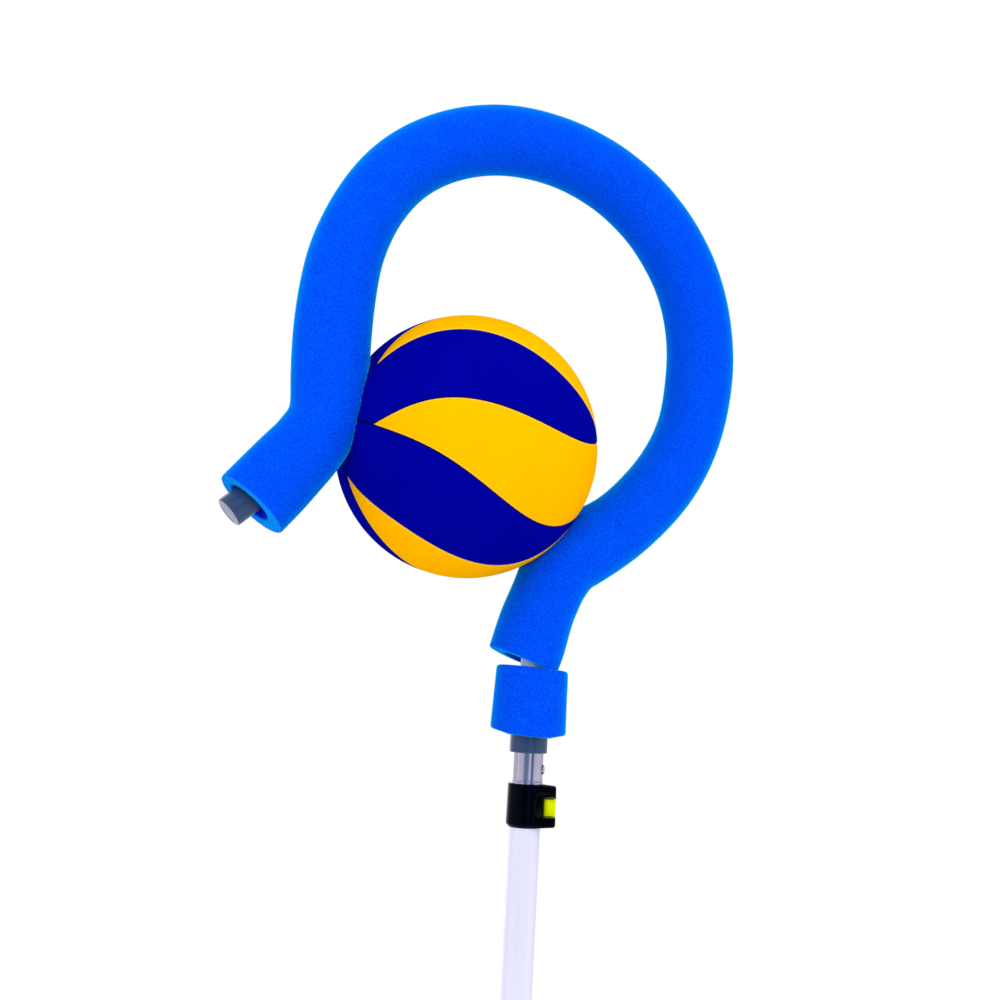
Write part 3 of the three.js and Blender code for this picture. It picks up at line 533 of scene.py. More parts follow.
def panel_finish(name, dark, light, rim, sunk, sheen):
    """Dimpled ball cover: rows of dimples whose hollows are painted darker as shade, and a pressed band with
    fine teeth along each seam, which has a line of one colour at the very edge and a toothed one of another
    beside it. The line at the very edge is a darker colour, painted shade in the seam's groove.

    The attributes edge and along are millimetres from the nearest seam and along it, and across and down
    are millimetres over the panel."""
    material, tree, surface, place = finish(
        name, Specular_IOR_Level=0.0, Sheen_Weight=sheen, Sheen_Roughness=0.3,
        Sheen_Tint=linear(90, 130, 255))
    leather = use_effect(tree, "grain", place, Cells=900.0, Patches=25.0)
    across = mark_of(tree, "across")
    down = mark_of(tree, "down")
    over = add(tree, "ShaderNodeCombineXYZ", {"X": across, "Y": down}).outputs[0]
    dimple = use_effect(tree, "dimples", over, Pitch=2.7).outputs["Height"]
    edge = mark_of(tree, "edge")
    along = mark_of(tree, "along")
    turns = sum_of(tree, "MULTIPLY", along, 2.2)
    teeth = add(tree, "ShaderNodeMath", {0: turns}, operation="SINE").outputs[0]
    near = ranged(tree, edge, 1.0, 3.2, 1.0, 0.0)
    pressed = sum_of(tree, "MULTIPLY", sum_of(tree, "MULTIPLY", teeth, near), 0.35)
    colour = mixed(tree, leather.outputs["Variation"], dark, light)
    # Painted shade: the colour darkens by up to 14 percent towards black in each dimple, as shade in the
    # hollows
    colour = mixed(tree, sum_of(tree, "MULTIPLY", dimple, 0.14), colour, linear(0, 0, 0))
    reach = sum_of(tree, "ADD", edge, sum_of(tree, "MULTIPLY", teeth, 0.35))
    lined = mixed(tree, ranged(tree, reach, 0.9, 1.5, 0.75, 0.0), colour, rim)
    # Painted shade: within 0.6 mm of the seam the colour turns to the darker sunk colour, standing in for
    # shade in the seam's groove
    colour = mixed(tree, ranged(tree, edge, 0.2, 0.6, 0.8, 0.0), lined, sunk)
    tree.links.new(colour, surface.inputs["Base Color"])
    tree.links.new(ranged(tree, leather.outputs["Height"], 0.2, 0.7, 0.52, 0.4), surface.inputs["Roughness"])
    hollow = sum_of(tree, "ADD", dimple, sum_of(tree, "MULTIPLY", leather.outputs["Height"], 0.4))
    height = sum_of(tree, "SUBTRACT", pressed, hollow)
    bumped(tree, surface, height, 0.16 * MM, 0.8)
    return material


FINISHES = {
    "foam": foam_finish(),
    "tube": tube_finish("anodised_tube", linear(220, 219, 241), linear(228, 227, 249), 0.3),
    # Painted light: the hook's tube is lighter and bluer than the pole's tube, standing in for blue light
    # bounced off the foam
    "hook": tube_finish("hook_tube_painted_foam_bounce", linear(220, 238, 255), linear(230, 245, 255), 0.0),
    "bright": bright_finish(),
    "steel": steel_finish(),
    "grey": moulded_finish(
        "grey_moulding", linear(22, 52, 88), linear(34, 64, 100), (0.26, 0.38), 1500, 0.05 * MM),
    "black": moulded_finish(
        "black_gloss", linear(0, 0, 2), linear(1, 2, 6), (0.1, 0.18), 1200, 0.02 * MM, 0.08,
        (0.3, 0.5, 1, 1)),
    "lime": moulded_finish(
        "lime_moulding", linear(209, 224, 0), linear(217, 232, 0), (0.3, 0.42), 1500, 0.02 * MM, 0.03),
    "rubber": moulded_finish(
        "black_rubber", linear(18, 19, 21), linear(36, 37, 40), (0.6, 0.75), 900, 0.12 * MM),
    "bladder": moulded_finish(
        "bladder_rubber", linear(12, 12, 14), linear(22, 22, 24), (0.7, 0.8), 900, 0.1 * MM),
    # The last colour but one of each cover is painted shade for the seam's groove
    "navy": panel_finish(
        "navy_cover", linear(0, 0, 136), linear(1, 4, 151), linear(4, 8, 84), linear(1, 3, 118), 0.02),
    "yellow": panel_finish(
        "yellow_cover", linear(255, 175, 0), linear(255, 186, 0), linear(255, 200, 70),
        linear(170, 112, 20), 0.0),
}


# Camera, light and floor


def make_camera():
    """A camera whose axes are the given right and up, so that it looks along up cross right."""
    right, up = np.array(CAMERA_RIGHT), np.array(CAMERA_UP)
    back = np.cross(right, up)
    turn = np.stack([right, up, back], 1)
    unit = np.linalg.qr(turn)[0]
    unit *= np.sign((unit * turn).sum(0))
    place = np.eye(4)
    place[:3, :3] = unit
    place[:3, 3] = CAMERA_PLACE
    lens = bpy.data.cameras.new("photo_camera")
    lens.lens = CAMERA_LENS
    lens.sensor_width = CAMERA_SENSOR
    lens.shift_x, lens.shift_y = CAMERA_SHIFT
    lens.clip_end = 100
    camera = bpy.data.objects.new("photo_camera", lens)
    camera.matrix_world = Matrix(place.tolist())
    bpy.context.scene.collection.objects.link(camera)
    bpy.context.scene.camera = camera


def area_light(name, place, size, power):
    """A softbox that looks at the target and leaves no glare."""
    data = bpy.data.lights.new(name, "AREA")
    data.shape = "RECTANGLE"
    data.size, data.size_y = size
    data.energy = power
    light = bpy.data.objects.new(name, data)
    toward = (Vector(LIGHT_TARGET) - Vector(place)).normalized()
    light.matrix_world = Matrix.Translation(place) @ toward.to_track_quat("-Z", "Y").to_matrix().to_4x4()
    light.visible_glossy = False
    bpy.context.scene.collection.objects.link(light)


def make_world():
    """White to the camera and even on matt surfaces; glossy ones reflect a grey studio whose azimuths
    hold two dark bands either side of a lit slit, all by a colour ramp of azimuth over a full turn."""
    world = bpy.data.worlds.new("studio")
    bpy.context.scene.world = world
    world.use_nodes = True
    tree = world.node_tree
    tree.nodes.clear()
    way = add(tree, "ShaderNodeSeparateXYZ",
              {"Vector": tree.nodes.new("ShaderNodeTexCoord").outputs["Generated"]})
    azimuth = sum_of(tree, "ARCTAN2", way.outputs["Y"], way.outputs["X"])
    ramp = tree.nodes.new("ShaderNodeValToRGB")
    tree.links.new(ranged(tree, azimuth, -math.pi, math.pi, 0.0, 1.0), ramp.inputs["Fac"])
    lilac, slate, blue = (1.0, 0.98, 1.06), (0.17, 0.25, 0.39), (0.09, 0.21, 0.46)
    bands = [(0.0, lilac, 0.74), (0.06, lilac, 0.76), (0.1, lilac, 0.64), (0.122, slate, 1), (0.2, slate, 1),
             (0.214, lilac, 0.85), (0.243, lilac, 0.85), (0.255, blue, 1), (0.302, blue, 1),
             (0.318, lilac, 0.76), (0.44, lilac, 0.9), (0.5, lilac, 0.8), (0.56, lilac, 0.6),
             (0.62, lilac, 0.85), (0.68, lilac, 1.0), (0.72, lilac, 1.85), (0.8, lilac, 1.85),
             (0.85, lilac, 0.8), (0.93, lilac, 0.66), (1.0, lilac, 0.74)]
    for position, tint, level in bands:
        stop = ramp.color_ramp.elements.new(position)
        stop.color = (*(level * part for part in tint), 1)
    ramp.color_ramp.elements.remove(ramp.color_ramp.elements[0])
    path = tree.nodes.new("ShaderNodeLightPath")
    lit = add(tree, "ShaderNodeBackground", {"Color": (1, 1, 1, 1), "Strength": STUDIO_LEVEL})
    shine = add(tree, "ShaderNodeBackground", {"Color": ramp.outputs["Color"], "Strength": 1.0})
    seen = add(tree, "ShaderNodeBackground", {"Color": (1, 1, 1, 1), "Strength": 1.0})
    glossy = add(tree, "ShaderNodeMixShader", {0: path.outputs["Is Glossy Ray"]})
    choice = add(tree, "ShaderNodeMixShader", {0: path.outputs["Is Camera Ray"]})
    for source, target in ((lit, glossy.inputs[1]), (shine, glossy.inputs[2]), (glossy, choice.inputs[1]),
                           (seen, choice.inputs[2])):
        tree.links.new(source.outputs[0], target)
    end = tree.nodes.new("ShaderNodeOutputWorld")
    tree.links.new(choice.outputs[0], end.inputs["Surface"])


def make_floor():
    """A plain pale disc under the pole."""
    material = finish("pale_floor", Roughness=0.9, Base_Color=(0.85, 0.85, 0.86, 1))[0]
    sides = 96
    angle = np.arange(sides) * FULL_TURN / sides
    rim = np.stack([FLOOR_RADIUS * np.cos(angle), FLOOR_RADIUS * np.sin(angle), 0 * angle], 1)
    mesh = bpy.data.meshes.new("floor")
    mesh.from_pydata(rim, [], [list(range(len(rim)))])
    mesh.materials.append(material)
    floor = bpy.data.objects.new("floor", mesh)
    bpy.context.scene.collection.objects.link(floor)


make_camera()
make_world()
make_floor()
for softbox in SOFTBOXES:
    area_light(*softbox)
bpy.context.scene.view_settings.view_transform = "Standard"


# Pole


def ring_wall(bore, outer, bottom, top, fillet):
    """Closed profile of a tube wall with rounded rims."""
    return rounded([(bore, (bottom + top) / 2, 0), (bore, bottom, fillet), (outer, bottom, fillet),
                    (outer, top, fillet), (bore, top, fillet), (bore, (bottom + top) / 2, 0)])


def make_pole_tube(node, bore, radius, body):
    """A turned tube of the pole with rounded rims."""
    profile = ring_wall(bore, radius, bottom_of(node), top_of(node), TUBE_RIM_ROUND)
    piece(f"pole_{node}", turned(profile, 128), FINISHES["tube"], body, [node])


def make_foot_cap():
    """A turned cap with three raised bands and a tread of rings underfoot."""
    bore, outer = 12.5 * MM, 15.1 * MM
    top = top_of("foot_cap")
    floor_top = 4.7 * MM
    corners = [(0, 0, 0), (4 * MM, 0, 0.3 * MM), (4.4 * MM, 0.9 * MM, 0.3 * MM), (6 * MM, 0.9 * MM, 0.3 * MM),
               (6.4 * MM, 0, 0.3 * MM), (9 * MM, 0, 0.3 * MM), (9.4 * MM, 0.9 * MM, 0.3 * MM),
               (11 * MM, 0.9 * MM, 0.3 * MM), (11.4 * MM, 0, 0.3 * MM), (outer, 0, 2.2 * MM)]
    for number in range(3):
        low = (8 + 8 * number) * MM
        corners += [(outer, low, 0.5 * MM), (outer - 0.8 * MM, low + 1 * MM, 0.5 * MM),
                    (outer - 0.8 * MM, low + 3 * MM, 0.5 * MM), (outer, low + 4 * MM, 0.5 * MM)]
    corners += [(outer, top, 1.2 * MM), (bore, top, 0.5 * MM), (bore, floor_top, 0), (0, floor_top, 0)]
    grid = turned(rounded(corners))
    piece("rubber_foot_cap", grid, FINISHES["rubber"], "pole", ["foot_cap"])


def make_hand_grip():
    """A sleeve with rolled ends; between them its radius dips in even rings."""
    bottom, top = bottom_of("hand_grip"), top_of("hand_grip")
    bore, outer = 12.5 * MM, 16.1 * MM
    height = np.linspace(bottom + 6 * MM, top - 6 * MM, 640)
    ring_pitch = 4.0 * MM
    wave = 0.5 - 0.5 * np.cos(FULL_TURN * (height - bottom) / ring_pitch)
    inside = smooth(bottom + 12 * MM, bottom + 14 * MM, height) * smooth(top - 12 * MM, top - 14 * MM, height)
    radius = outer - 0.9 * MM * inside * (1 - wave ** 3)
    low_end = rounded([(bore, bottom + 20 * MM, 0), (bore, bottom, 0.6 * MM), (outer, bottom, 2.5 * MM),
                       (outer, bottom + 6 * MM, 0)])
    high_end = rounded([(outer, top - 6 * MM, 0), (outer, top, 2.5 * MM), (bore, top, 0.6 * MM),
                        (bore, bottom + 20 * MM, 0)])
    profile = np.concatenate([low_end, np.stack([radius, height], 1), high_end])
    piece("ribbed_hand_grip", turned(profile), FINISHES["rubber"], "pole", ["hand_grip"])


def make_guide_plug():
    """A turned plug: a spigot in the inner tube's end over a flange that slides in the outer tube."""
    bottom, top = bottom_of("guide_plug"), top_of("guide_plug")
    middle = middle_of("guide_plug")
    flange_top = bottom + 9 * MM
    flange, spigot, bore = 10.9 * MM, 9.3 * MM, 5 * MM
    profile = rounded([(bore, middle, 0), (bore, bottom, 0.5 * MM), (flange, bottom, 0.8 * MM),
                       (flange, flange_top, 0.5 * MM), (spigot, flange_top, 0.2 * MM),
                       (spigot, top, 0.8 * MM), (bore, top, 0.5 * MM), (bore, middle, 0)])
    piece("inner_guide_plug", turned(profile), FINISHES["grey"], "guide", ["guide_plug"])


def make_ferrule():
    """A plated tube with a rolled flange that ripples a little; its wall dips into a pit for the button."""
    bottom, top = bottom_of("socket_ferrule"), top_of("socket_ferrule")
    flange_top = bottom + FLANGE_HEIGHT
    groove, ridge = FLANGE_RADIUS - 0.5 * MM, FLANGE_RADIUS - 0.1 * MM
    low = rounded([(FERRULE_BORE, top - 10 * MM, 0), (FERRULE_BORE, bottom, 0.4 * MM),
                   (FLANGE_RADIUS, bottom, 0.9 * MM), (FLANGE_RADIUS, bottom + 1.8 * MM, 0.7 * MM),
                   (groove, bottom + 2.1 * MM, 0.2 * MM), (groove, bottom + 2.6 * MM, 0.2 * MM),
                   (ridge, bottom + 2.8 * MM, 0.2 * MM), (ridge, flange_top, 0.4 * MM),
                   (FERRULE_RADIUS, flange_top, 0.3 * MM), (FERRULE_RADIUS, flange_top + 2 * MM, 0)], 8)
    height = np.linspace(flange_top + 2.1 * MM, top - 1 * MM, 150)
    wall = np.stack([FERRULE_RADIUS + 0 * height, height], 1)
    high = rounded([(FERRULE_RADIUS, top - 0.9 * MM, 0), (FERRULE_RADIUS, top, 0.4 * MM),
                    (FERRULE_BORE, top, 0.4 * MM), (FERRULE_BORE, top - 10 * MM, 0)])
    grid = turned(np.concatenate([low, wall, high]), 360)
    radius = np.hypot(grid[..., 0], grid[..., 1])
    turn = np.arctan2(grid[..., 1], grid[..., 0]) - BUTTON_AZIMUTH
    turn = (turn + math.pi) % FULL_TURN - math.pi
    distance = np.hypot(turn * FERRULE_RADIUS, grid[..., 2] - middle_of("snap_button"))
    outside = radius > FERRULE_RADIUS - 0.2 * MM
    pit = (1 - smooth(BUTTON_RADIUS + 0.25 * MM, BUTTON_RADIUS + 0.6 * MM, distance)) * outside
    rolled = 0.1 * MM * np.cos(9 * turn + 1) * (1 - smooth(bottom, flange_top, grid[..., 2]))
    scale = (radius - 1.1 * MM * pit + rolled * (radius > FERRULE_RADIUS + 0.1 * MM)) / radius
    grid[..., :2] *= scale[..., None]
    piece("plated_ferrule", grid, FINISHES["bright"], "mast", ["socket_ferrule"],
          wrap_rows=True)


def radial(azimuth, height):
    """The matrix that lays +Z out along an azimuth of the pole, at a height."""
    turn = Matrix.Rotation(azimuth, 4, "Z") @ Matrix.Rotation(math.pi / 2, 4, "Y")
    return Matrix.Translation((0, 0, height)) @ turn


def make_button():
    """A round pin with a domed end, laid out through the ferrule's hole."""
    inner, outer = 8.9 * MM, FERRULE_RADIUS + BUTTON_PROUD + 0.3 * MM
    profile = rounded([(0, inner, 0), (BUTTON_RADIUS, inner, 0.2 * MM), (BUTTON_RADIUS, outer, 1.4 * MM),
                       (0, outer, 0)], 8)
    grid = placed(turned(profile, 64), radial(BUTTON_AZIMUTH, middle_of("snap_button")))
    piece("domed_snap_button", grid, FINISHES["steel"], "button", ["snap_button"])


def make_coupling():
    """A turned coupling: a wide bore over the ferrule, a web, and a narrower bore for the hook tube."""
    bottom, top = bottom_of("head_coupling"), top_of("head_coupling")
    bore, upper_bore, web = 12.55 * MM, 9.7 * MM, 6 * MM
    start, shoulder, seat = bottom + 5 * MM, bottom + 20 * MM, bottom + 24.8 * MM
    profile = rounded([(bore, start, 0), (bore, bottom, 0.4 * MM), (COUPLING_RADIUS, bottom, 0.9 * MM),
                       (COUPLING_RADIUS, top, 0.6 * MM), (upper_bore, top, 0.4 * MM), (upper_bore, seat, 0),
                       (web, seat, 0), (web, shoulder, 0), (bore, shoulder, 0), (bore, start, 0)])
    piece("grey_coupling", turned(profile), FINISHES["grey"], "mast", ["head_coupling"])


# Flip clamp


def ear_outline(angle):
    """Distance from the pole's axis to the clamp's outline, ear and all, at an angle from the ear.

    The ear is a box whose rounded corners come from a power mean of its half sizes, wide in front and
    narrow at the back, with its end skewed. It runs into the round sleeve by a power mean of both radii."""
    ahead = np.maximum(np.cos(angle) + EAR_SKEW * np.sin(angle), 1e-6)
    aside = np.maximum(np.abs(np.sin(angle)), 1e-6)
    width = np.where(np.sin(angle) < 0, EAR_FRONT_WIDTH, EAR_BACK_WIDTH)
    reach = EAR_REACH - EAR_SKEW * EAR_FRONT_WIDTH
    box = ((ahead / reach) ** 12 + (aside / width) ** 12) ** (-1 / 12)
    box = np.where(np.cos(angle) > 0, box, 0)
    return (CLAMP_RADIUS ** 18 + box ** 18) ** (1 / 18)


def clamp_rows(bottom, lower_top, upper_bottom, ear_top, rim_top):
    """Rows that climb the clamp: the share of the ear that stands out at each, and its height.

    They are a rounded profile whose radius is the share times a unit: a foot, the lower ear, the pocket
    for the lever, the upper ear and a crown that ends on the rim."""
    unit = 10 * MM
    toe = bottom + TOE_HEIGHT * (1 - np.cos(np.linspace(0, math.pi / 2, 8)))
    low_ear = rounded([(unit, bottom + 1.1 * TOE_HEIGHT, 0), (unit, lower_top, 0.4 * MM),
                       (0, lower_top, 0.3 * MM), (0, upper_bottom - 3 * MM, 0)], 6)
    low_ear = np.concatenate([np.stack([unit + 0 * toe, toe], 1), low_ear])
    high_ear = rounded([(0, upper_bottom - 2 * MM, 0), (0, upper_bottom, 0.3 * MM),
                        (unit, upper_bottom, 0.3 * MM), (unit, upper_bottom + 3 * MM, 0)], 6)[:-1]
    climb = np.linspace(upper_bottom + 0.9 * MM, ear_top - 2.2 * MM, 22)
    crown = rounded([(unit, ear_top - 3 * MM, 0), (unit, ear_top, 1.6 * MM), (0, ear_top, 0.2 * MM),
                     (0, rim_top, 0.35 * MM)], 8)[1:]
    rows = np.concatenate([low_ear, high_ear, np.stack([unit + 0 * climb, climb], 1), crown])
    return rows[:, :1] / unit, rows[:, 1:]


def clamp_bore(bottom, top, rim_top):
    """Profile down the inside of the clamp: the rim, the lip on the tube's end and the wide bore."""
    rim_bore, lip_bottom = FLANGE_RADIUS + 0.4 * MM, top - 4.5 * MM
    return rounded([(CLAMP_RADIUS - 0.4 * MM, rim_top, 0), (rim_bore, rim_top, 0.3 * MM),
                    (rim_bore, top, 0.1 * MM), (CLAMP_LIP_BORE, top, 0.4 * MM),
                    (CLAMP_LIP_BORE, lip_bottom, 0), (CLAMP_BORE, lip_bottom, 0),
                    (CLAMP_BORE, bottom, 0), (CLAMP_BORE + 0.2 * MM, bottom, 0)])


def make_clamp_body():
    """The clamp: its rows carried round the pole, from the sleeve out to the ear's outline by their share.

    Towards the front the share fades over a slope round the pocket for the lever, by the distance above
    or below it over the slope's height, and between the ears the sleeve is cut back a little. The foot is
    drawn in by a chamfer, a share of the radius is added towards it, and the ear's underside rises outwards.
    The mark matt is set in the pocket and on the ear's top."""
    near = np.linspace(-math.radians(75), math.radians(50), 240, endpoint=False)
    far = np.linspace(math.radians(50), FULL_TURN - math.radians(75), 100, endpoint=False)
    angle = np.concatenate([near, far])
    bottom, top = bottom_of("clamp_body"), top_of("clamp_body")
    ear_top, rim_top = top + 0.5 * MM, top + CLAMP_RIM
    lower_top, upper_bottom = bottom + 9.3 * MM, top - 9.8 * MM
    share, height = clamp_rows(bottom, lower_top, upper_bottom, ear_top, rim_top)
    front = smooth(-math.radians(12), -math.radians(38), angle)
    slope = 0.4 * MM + 5.2 * MM * front
    above = np.clip((height - upper_bottom) / slope, 0, 1)
    share = share * np.where(height > (lower_top + upper_bottom) / 2, above, 1)
    full = ear_outline(angle)
    radius = CLAMP_RADIUS + share * (full - CLAMP_RADIUS)
    pocket = smooth(-math.radians(51), -math.radians(47), angle)
    pocket = pocket * smooth(math.radians(46), math.radians(40), angle)
    middle = smooth(lower_top, lower_top + 1.2 * MM, height)
    middle = middle * smooth(upper_bottom + 2 * MM, upper_bottom, height)
    radius = radius - 1.2 * MM * pocket * middle * (1 - share)
    toe_share = np.clip(1 - (height - bottom) / TOE_HEIGHT, 0, 1)
    outward = np.clip((full - CLAMP_RADIUS) / (EAR_REACH - CLAMP_RADIUS), 0, 1)
    inset = TOE_INSET * toe_share ** 1.2 * (1 - 0.6 * outward)
    radius = radius * (1 + CLAMP_TAPER * (top - height) / (top - bottom)) - inset
    lift = TOE_RISE * outward * smooth(bottom + 5 * MM, bottom, height)
    lift = lift - 0.7 * MM * outward * smooth(ear_top - 4 * MM, ear_top, height) * (height <= ear_top)
    rim = np.stack([radius * np.cos(angle), radius * np.sin(angle), height + lift], -1)
    inner = clamp_bore(bottom, top, rim_top)
    bore_radius, bore_height = inner[:, :1], inner[:, 1:]
    bore = np.stack([bore_radius * np.cos(angle), bore_radius * np.sin(angle), bore_height + 0 * angle], -1)
    grid = placed(np.concatenate([rim, bore]), Matrix.Rotation(CLAMP_AZIMUTH, 4, "Z"))
    end = smooth(0.4, 0.55, outward) * (height >= ear_top - 0.6 * MM)
    matt = np.concatenate([np.maximum(pocket * middle * (1 - share), end), 0 * bore[..., 0]])
    piece("gloss_clamp_body", grid, FINISHES["black"], "pole", ["clamp_body"],
          wrap_rows=True, marks=[("matt", matt)])


def lever_outline():
    """Plan of the lever, counterclockwise, and for each of its points the nearest point of its middle line.

    The nose round the cam is a circle whose far side reaches out to a rounded corner; past it the sides lie
    at half the thickness from a curve that runs into the handle's arc."""
    start, end = LEVER_WRAP
    arc = np.linspace(start, end, 80)
    handle = LEVER_ARC * np.stack([np.cos(arc), np.sin(arc)], 1)
    share = np.linspace(0, 1, 24)[:, None]
    root = np.array([CAM_OFFSET, 0.0])
    corner = np.array([CAM_OFFSET - 0.4 * MM, 5.5 * MM])
    neck = root * (1 - share) ** 2 + 2 * corner * share * (1 - share) + handle[0] * share ** 2
    tip = handle[-1] + np.array([-math.sin(end), math.cos(end)]) * 5.5 * MM
    middle = np.concatenate([neck[:-1], handle, handle[-1] + (tip - handle[-1]) * share[1:]])
    step = np.gradient(middle, axis=0)
    ahead = step / np.linalg.norm(step, axis=1, keepdims=True)
    aside = np.stack([-ahead[:, 1], ahead[:, 0]], 1)
    travelled = np.concatenate([[0], np.cumsum(np.linalg.norm(np.diff(middle, axis=0), axis=1))])
    half = LEVER_HALF_THICKNESS + (CAM_RADIUS - LEVER_HALF_THICKNESS) * smooth(9 * MM, 1 * MM, travelled)
    half = half * np.sqrt(np.clip((travelled[-1] - travelled) / (1.2 * MM), 0, 1))
    first = math.atan2(ahead[0, 1], ahead[0, 0])
    around = np.linspace(math.pi / 2, 3 * math.pi / 2, 48) + first
    far = smooth(math.radians(308), math.radians(338), around)
    square = (np.maximum(np.abs(np.cos(around)), 0.01) ** 6 + np.abs(np.sin(around)) ** 6) ** (-1 / 6)
    corner_reach = CAM_FAR_SIDE + (CAM_RADIUS - CAM_FAR_SIDE) * np.sin(around) ** 2
    reach = CAM_RADIUS * (1 - far) + far * square * corner_reach
    nose = root + reach[:, None] * np.stack([np.cos(around), np.sin(around)], 1)
    left, right = middle + aside * half[:, None], middle - aside * half[:, None]
    outline = np.concatenate([nose[:-1], right, left[::-1][1:]])
    centre = np.concatenate([np.repeat(root[None], len(nose) - 1, 0), middle, middle[::-1][1:]])
    return outline, centre


def make_lever():
    """The lever's plan raised between the ears, with rounded edges and closed to its middle line."""
    bottom, top = bottom_of("cam_lever"), top_of("cam_lever")
    outline, centre = lever_outline()
    inward = centre - outline
    length = np.maximum(np.linalg.norm(inward, axis=1, keepdims=True), 1e-9)
    edge = 0.35 * MM
    turn = np.linspace(0, math.pi / 2, 6)
    inset = edge * (1 - np.sin(turn))
    rise = edge * (1 - np.cos(turn))
    rows = [np.column_stack([outline + inward / length * np.minimum(inset[number], 0.98 * length),
                             np.full(len(outline), bottom + rise[number])]) for number in range(len(turn))]
    upper = [row * (1, 1, -1) + (0, 0, bottom + top) for row in rows[::-1]]
    floor, roof = (np.column_stack([centre, np.full(len(centre), level)]) for level in (bottom, top))
    grid = placed(np.stack([floor, *rows, *upper, roof]), Matrix.Rotation(CLAMP_AZIMUTH, 4, "Z"))
    piece("lime_cam_lever", grid, FINISHES["lime"], "lever", ["cam_lever"])


def make_lever_pin():
    """A headed pin down through both ears."""
    bottom, top = bottom_of("clamp_body") + 0.75 * MM, top_of("clamp_body") - 1.5 * MM
    low_head, high_head = bottom + 0.7 * MM, top - 0.7 * MM
    profile = rounded([(0, bottom, 0), (LEVER_PIN_HEAD, bottom, 0.5 * MM), (LEVER_PIN_HEAD, low_head, 0),
                       (LEVER_PIN_RADIUS, low_head, 0), (LEVER_PIN_RADIUS, high_head, 0),
                       (LEVER_PIN_HEAD, high_head, 0), (LEVER_PIN_HEAD, top, 0.5 * MM), (0, top, 0)])
    place = Matrix.Rotation(CLAMP_AZIMUTH, 4, "Z") @ Matrix.Translation((LEVER_PIN_OFFSET, 0, 0))
    grid = placed(turned(profile, 48), place)
    piece("headed_lever_pin", grid, FINISHES["steel"], "pole", ["lever_pin"])


def make_clamp_rivet():
    """A domed rivet through the back of the sleeve."""
    shank, inner, seat = 2 * MM, 11.4 * MM, 14.6 * MM
    profile = rounded([(0, inner, 0), (shank, inner, 0), (shank, seat, 0), (3.4 * MM, seat, 0.2 * MM),
                       (3.0 * MM, 15.1 * MM, 0.5 * MM), (0, 15.2 * MM, 0)], 6)
    grid = placed(turned(profile, 48), radial(CLAMP_AZIMUTH + RIVET_TURN, middle_of("clamp_rivet")))
    piece("domed_clamp_rivet", grid, FINISHES["steel"], "pole", ["clamp_rivet"])


# Hook


def foam_stretches():
    return FOAM_LOWER + SHARED_BENDS + FOAM_TAIL


def tube_start_and_stretches():
    """The tube leaves the pole upright and meets the foam's centreline where the right arc starts."""
    bottom = bottom_of("hook_tube")
    x, z, heading = follow(FOAM_START, FOAM_LEAN, FOAM_LOWER, np.array([path_length(FOAM_LOWER)]))[:, 0]
    bend = math.pi / 2 - heading
    straight = (x - TUBE_LOWER_BEND * (1 - math.cos(bend))) / math.cos(heading)
    rise = TUBE_LOWER_BEND * math.sin(bend) + straight * math.sin(heading)
    lower = [(z - rise - bottom, None), (TUBE_LOWER_BEND, -math.degrees(bend)), (straight, None)]
    return (0.0, bottom), lower + SHARED_BENDS + TUBE_TAIL


def make_hook_tube():
    """The bent tube: rings of its radius along its centreline, and of its bore on the way back."""
    start, stretches = tube_start_and_stretches()
    along = np.linspace(0, path_length(stretches), 260)
    place = follow(start, 0.0, stretches, along)
    outer = sleeve_points(place, HOOK_TUBE_RADIUS, 64)
    inner = sleeve_points(place[:, ::-1], HOOK_TUBE_RADIUS - HOOK_TUBE_WALL, 64)
    grid = np.concatenate([outer, inner])
    piece("bent_hook_tube", grid, FINISHES["hook"], "mast", ["hook_tube"], wrap_rows=True)


def make_end_cap():
    """A turned cap over the tube's free end, laid along the tube's heading, with a barely sunk face."""
    start, stretches = tube_start_and_stretches()
    x, z, heading = follow(start, 0.0, stretches, np.array([path_length(stretches)]))[:, 0]
    face, length = 4 * MM, 34 * MM
    bore, inner, sunk = 9.7 * MM, 0.3 * MM, face - 0.15 * MM
    profile = rounded([(0, inner, 0), (bore, inner, 0), (bore, face - length, 0.3 * MM),
                       (END_CAP_RADIUS, face - length, 0.8 * MM), (END_CAP_RADIUS, face, 1.3 * MM),
                       (8.6 * MM, face, 0.5 * MM), (8.0 * MM, sunk, 0.5 * MM), (4 * MM, sunk, 0.5 * MM),
                       (0, sunk, 0)])
    place = Matrix.Translation((x, 0, z)) @ Matrix.Rotation(math.pi / 2 - heading, 4, "Y")
    grid = placed(turned(profile), place)
    piece("grey_end_cap", grid, FINISHES["grey"], "mast", ["tail_end_cap"])


def uneven(points, waves, amount, seed):
    """Slow unevenness of soft foam: a sum of sines of place with fixed random directions and phases."""
    draw = np.random.default_rng(seed)
    total = np.zeros(points.shape[:-1])
    for wave in waves:
        direction = draw.normal(size=3)
        direction /= np.linalg.norm(direction)
        total += np.sin(points @ direction * FULL_TURN / wave + draw.uniform(0, FULL_TURN))
    return amount * total / len(waves)


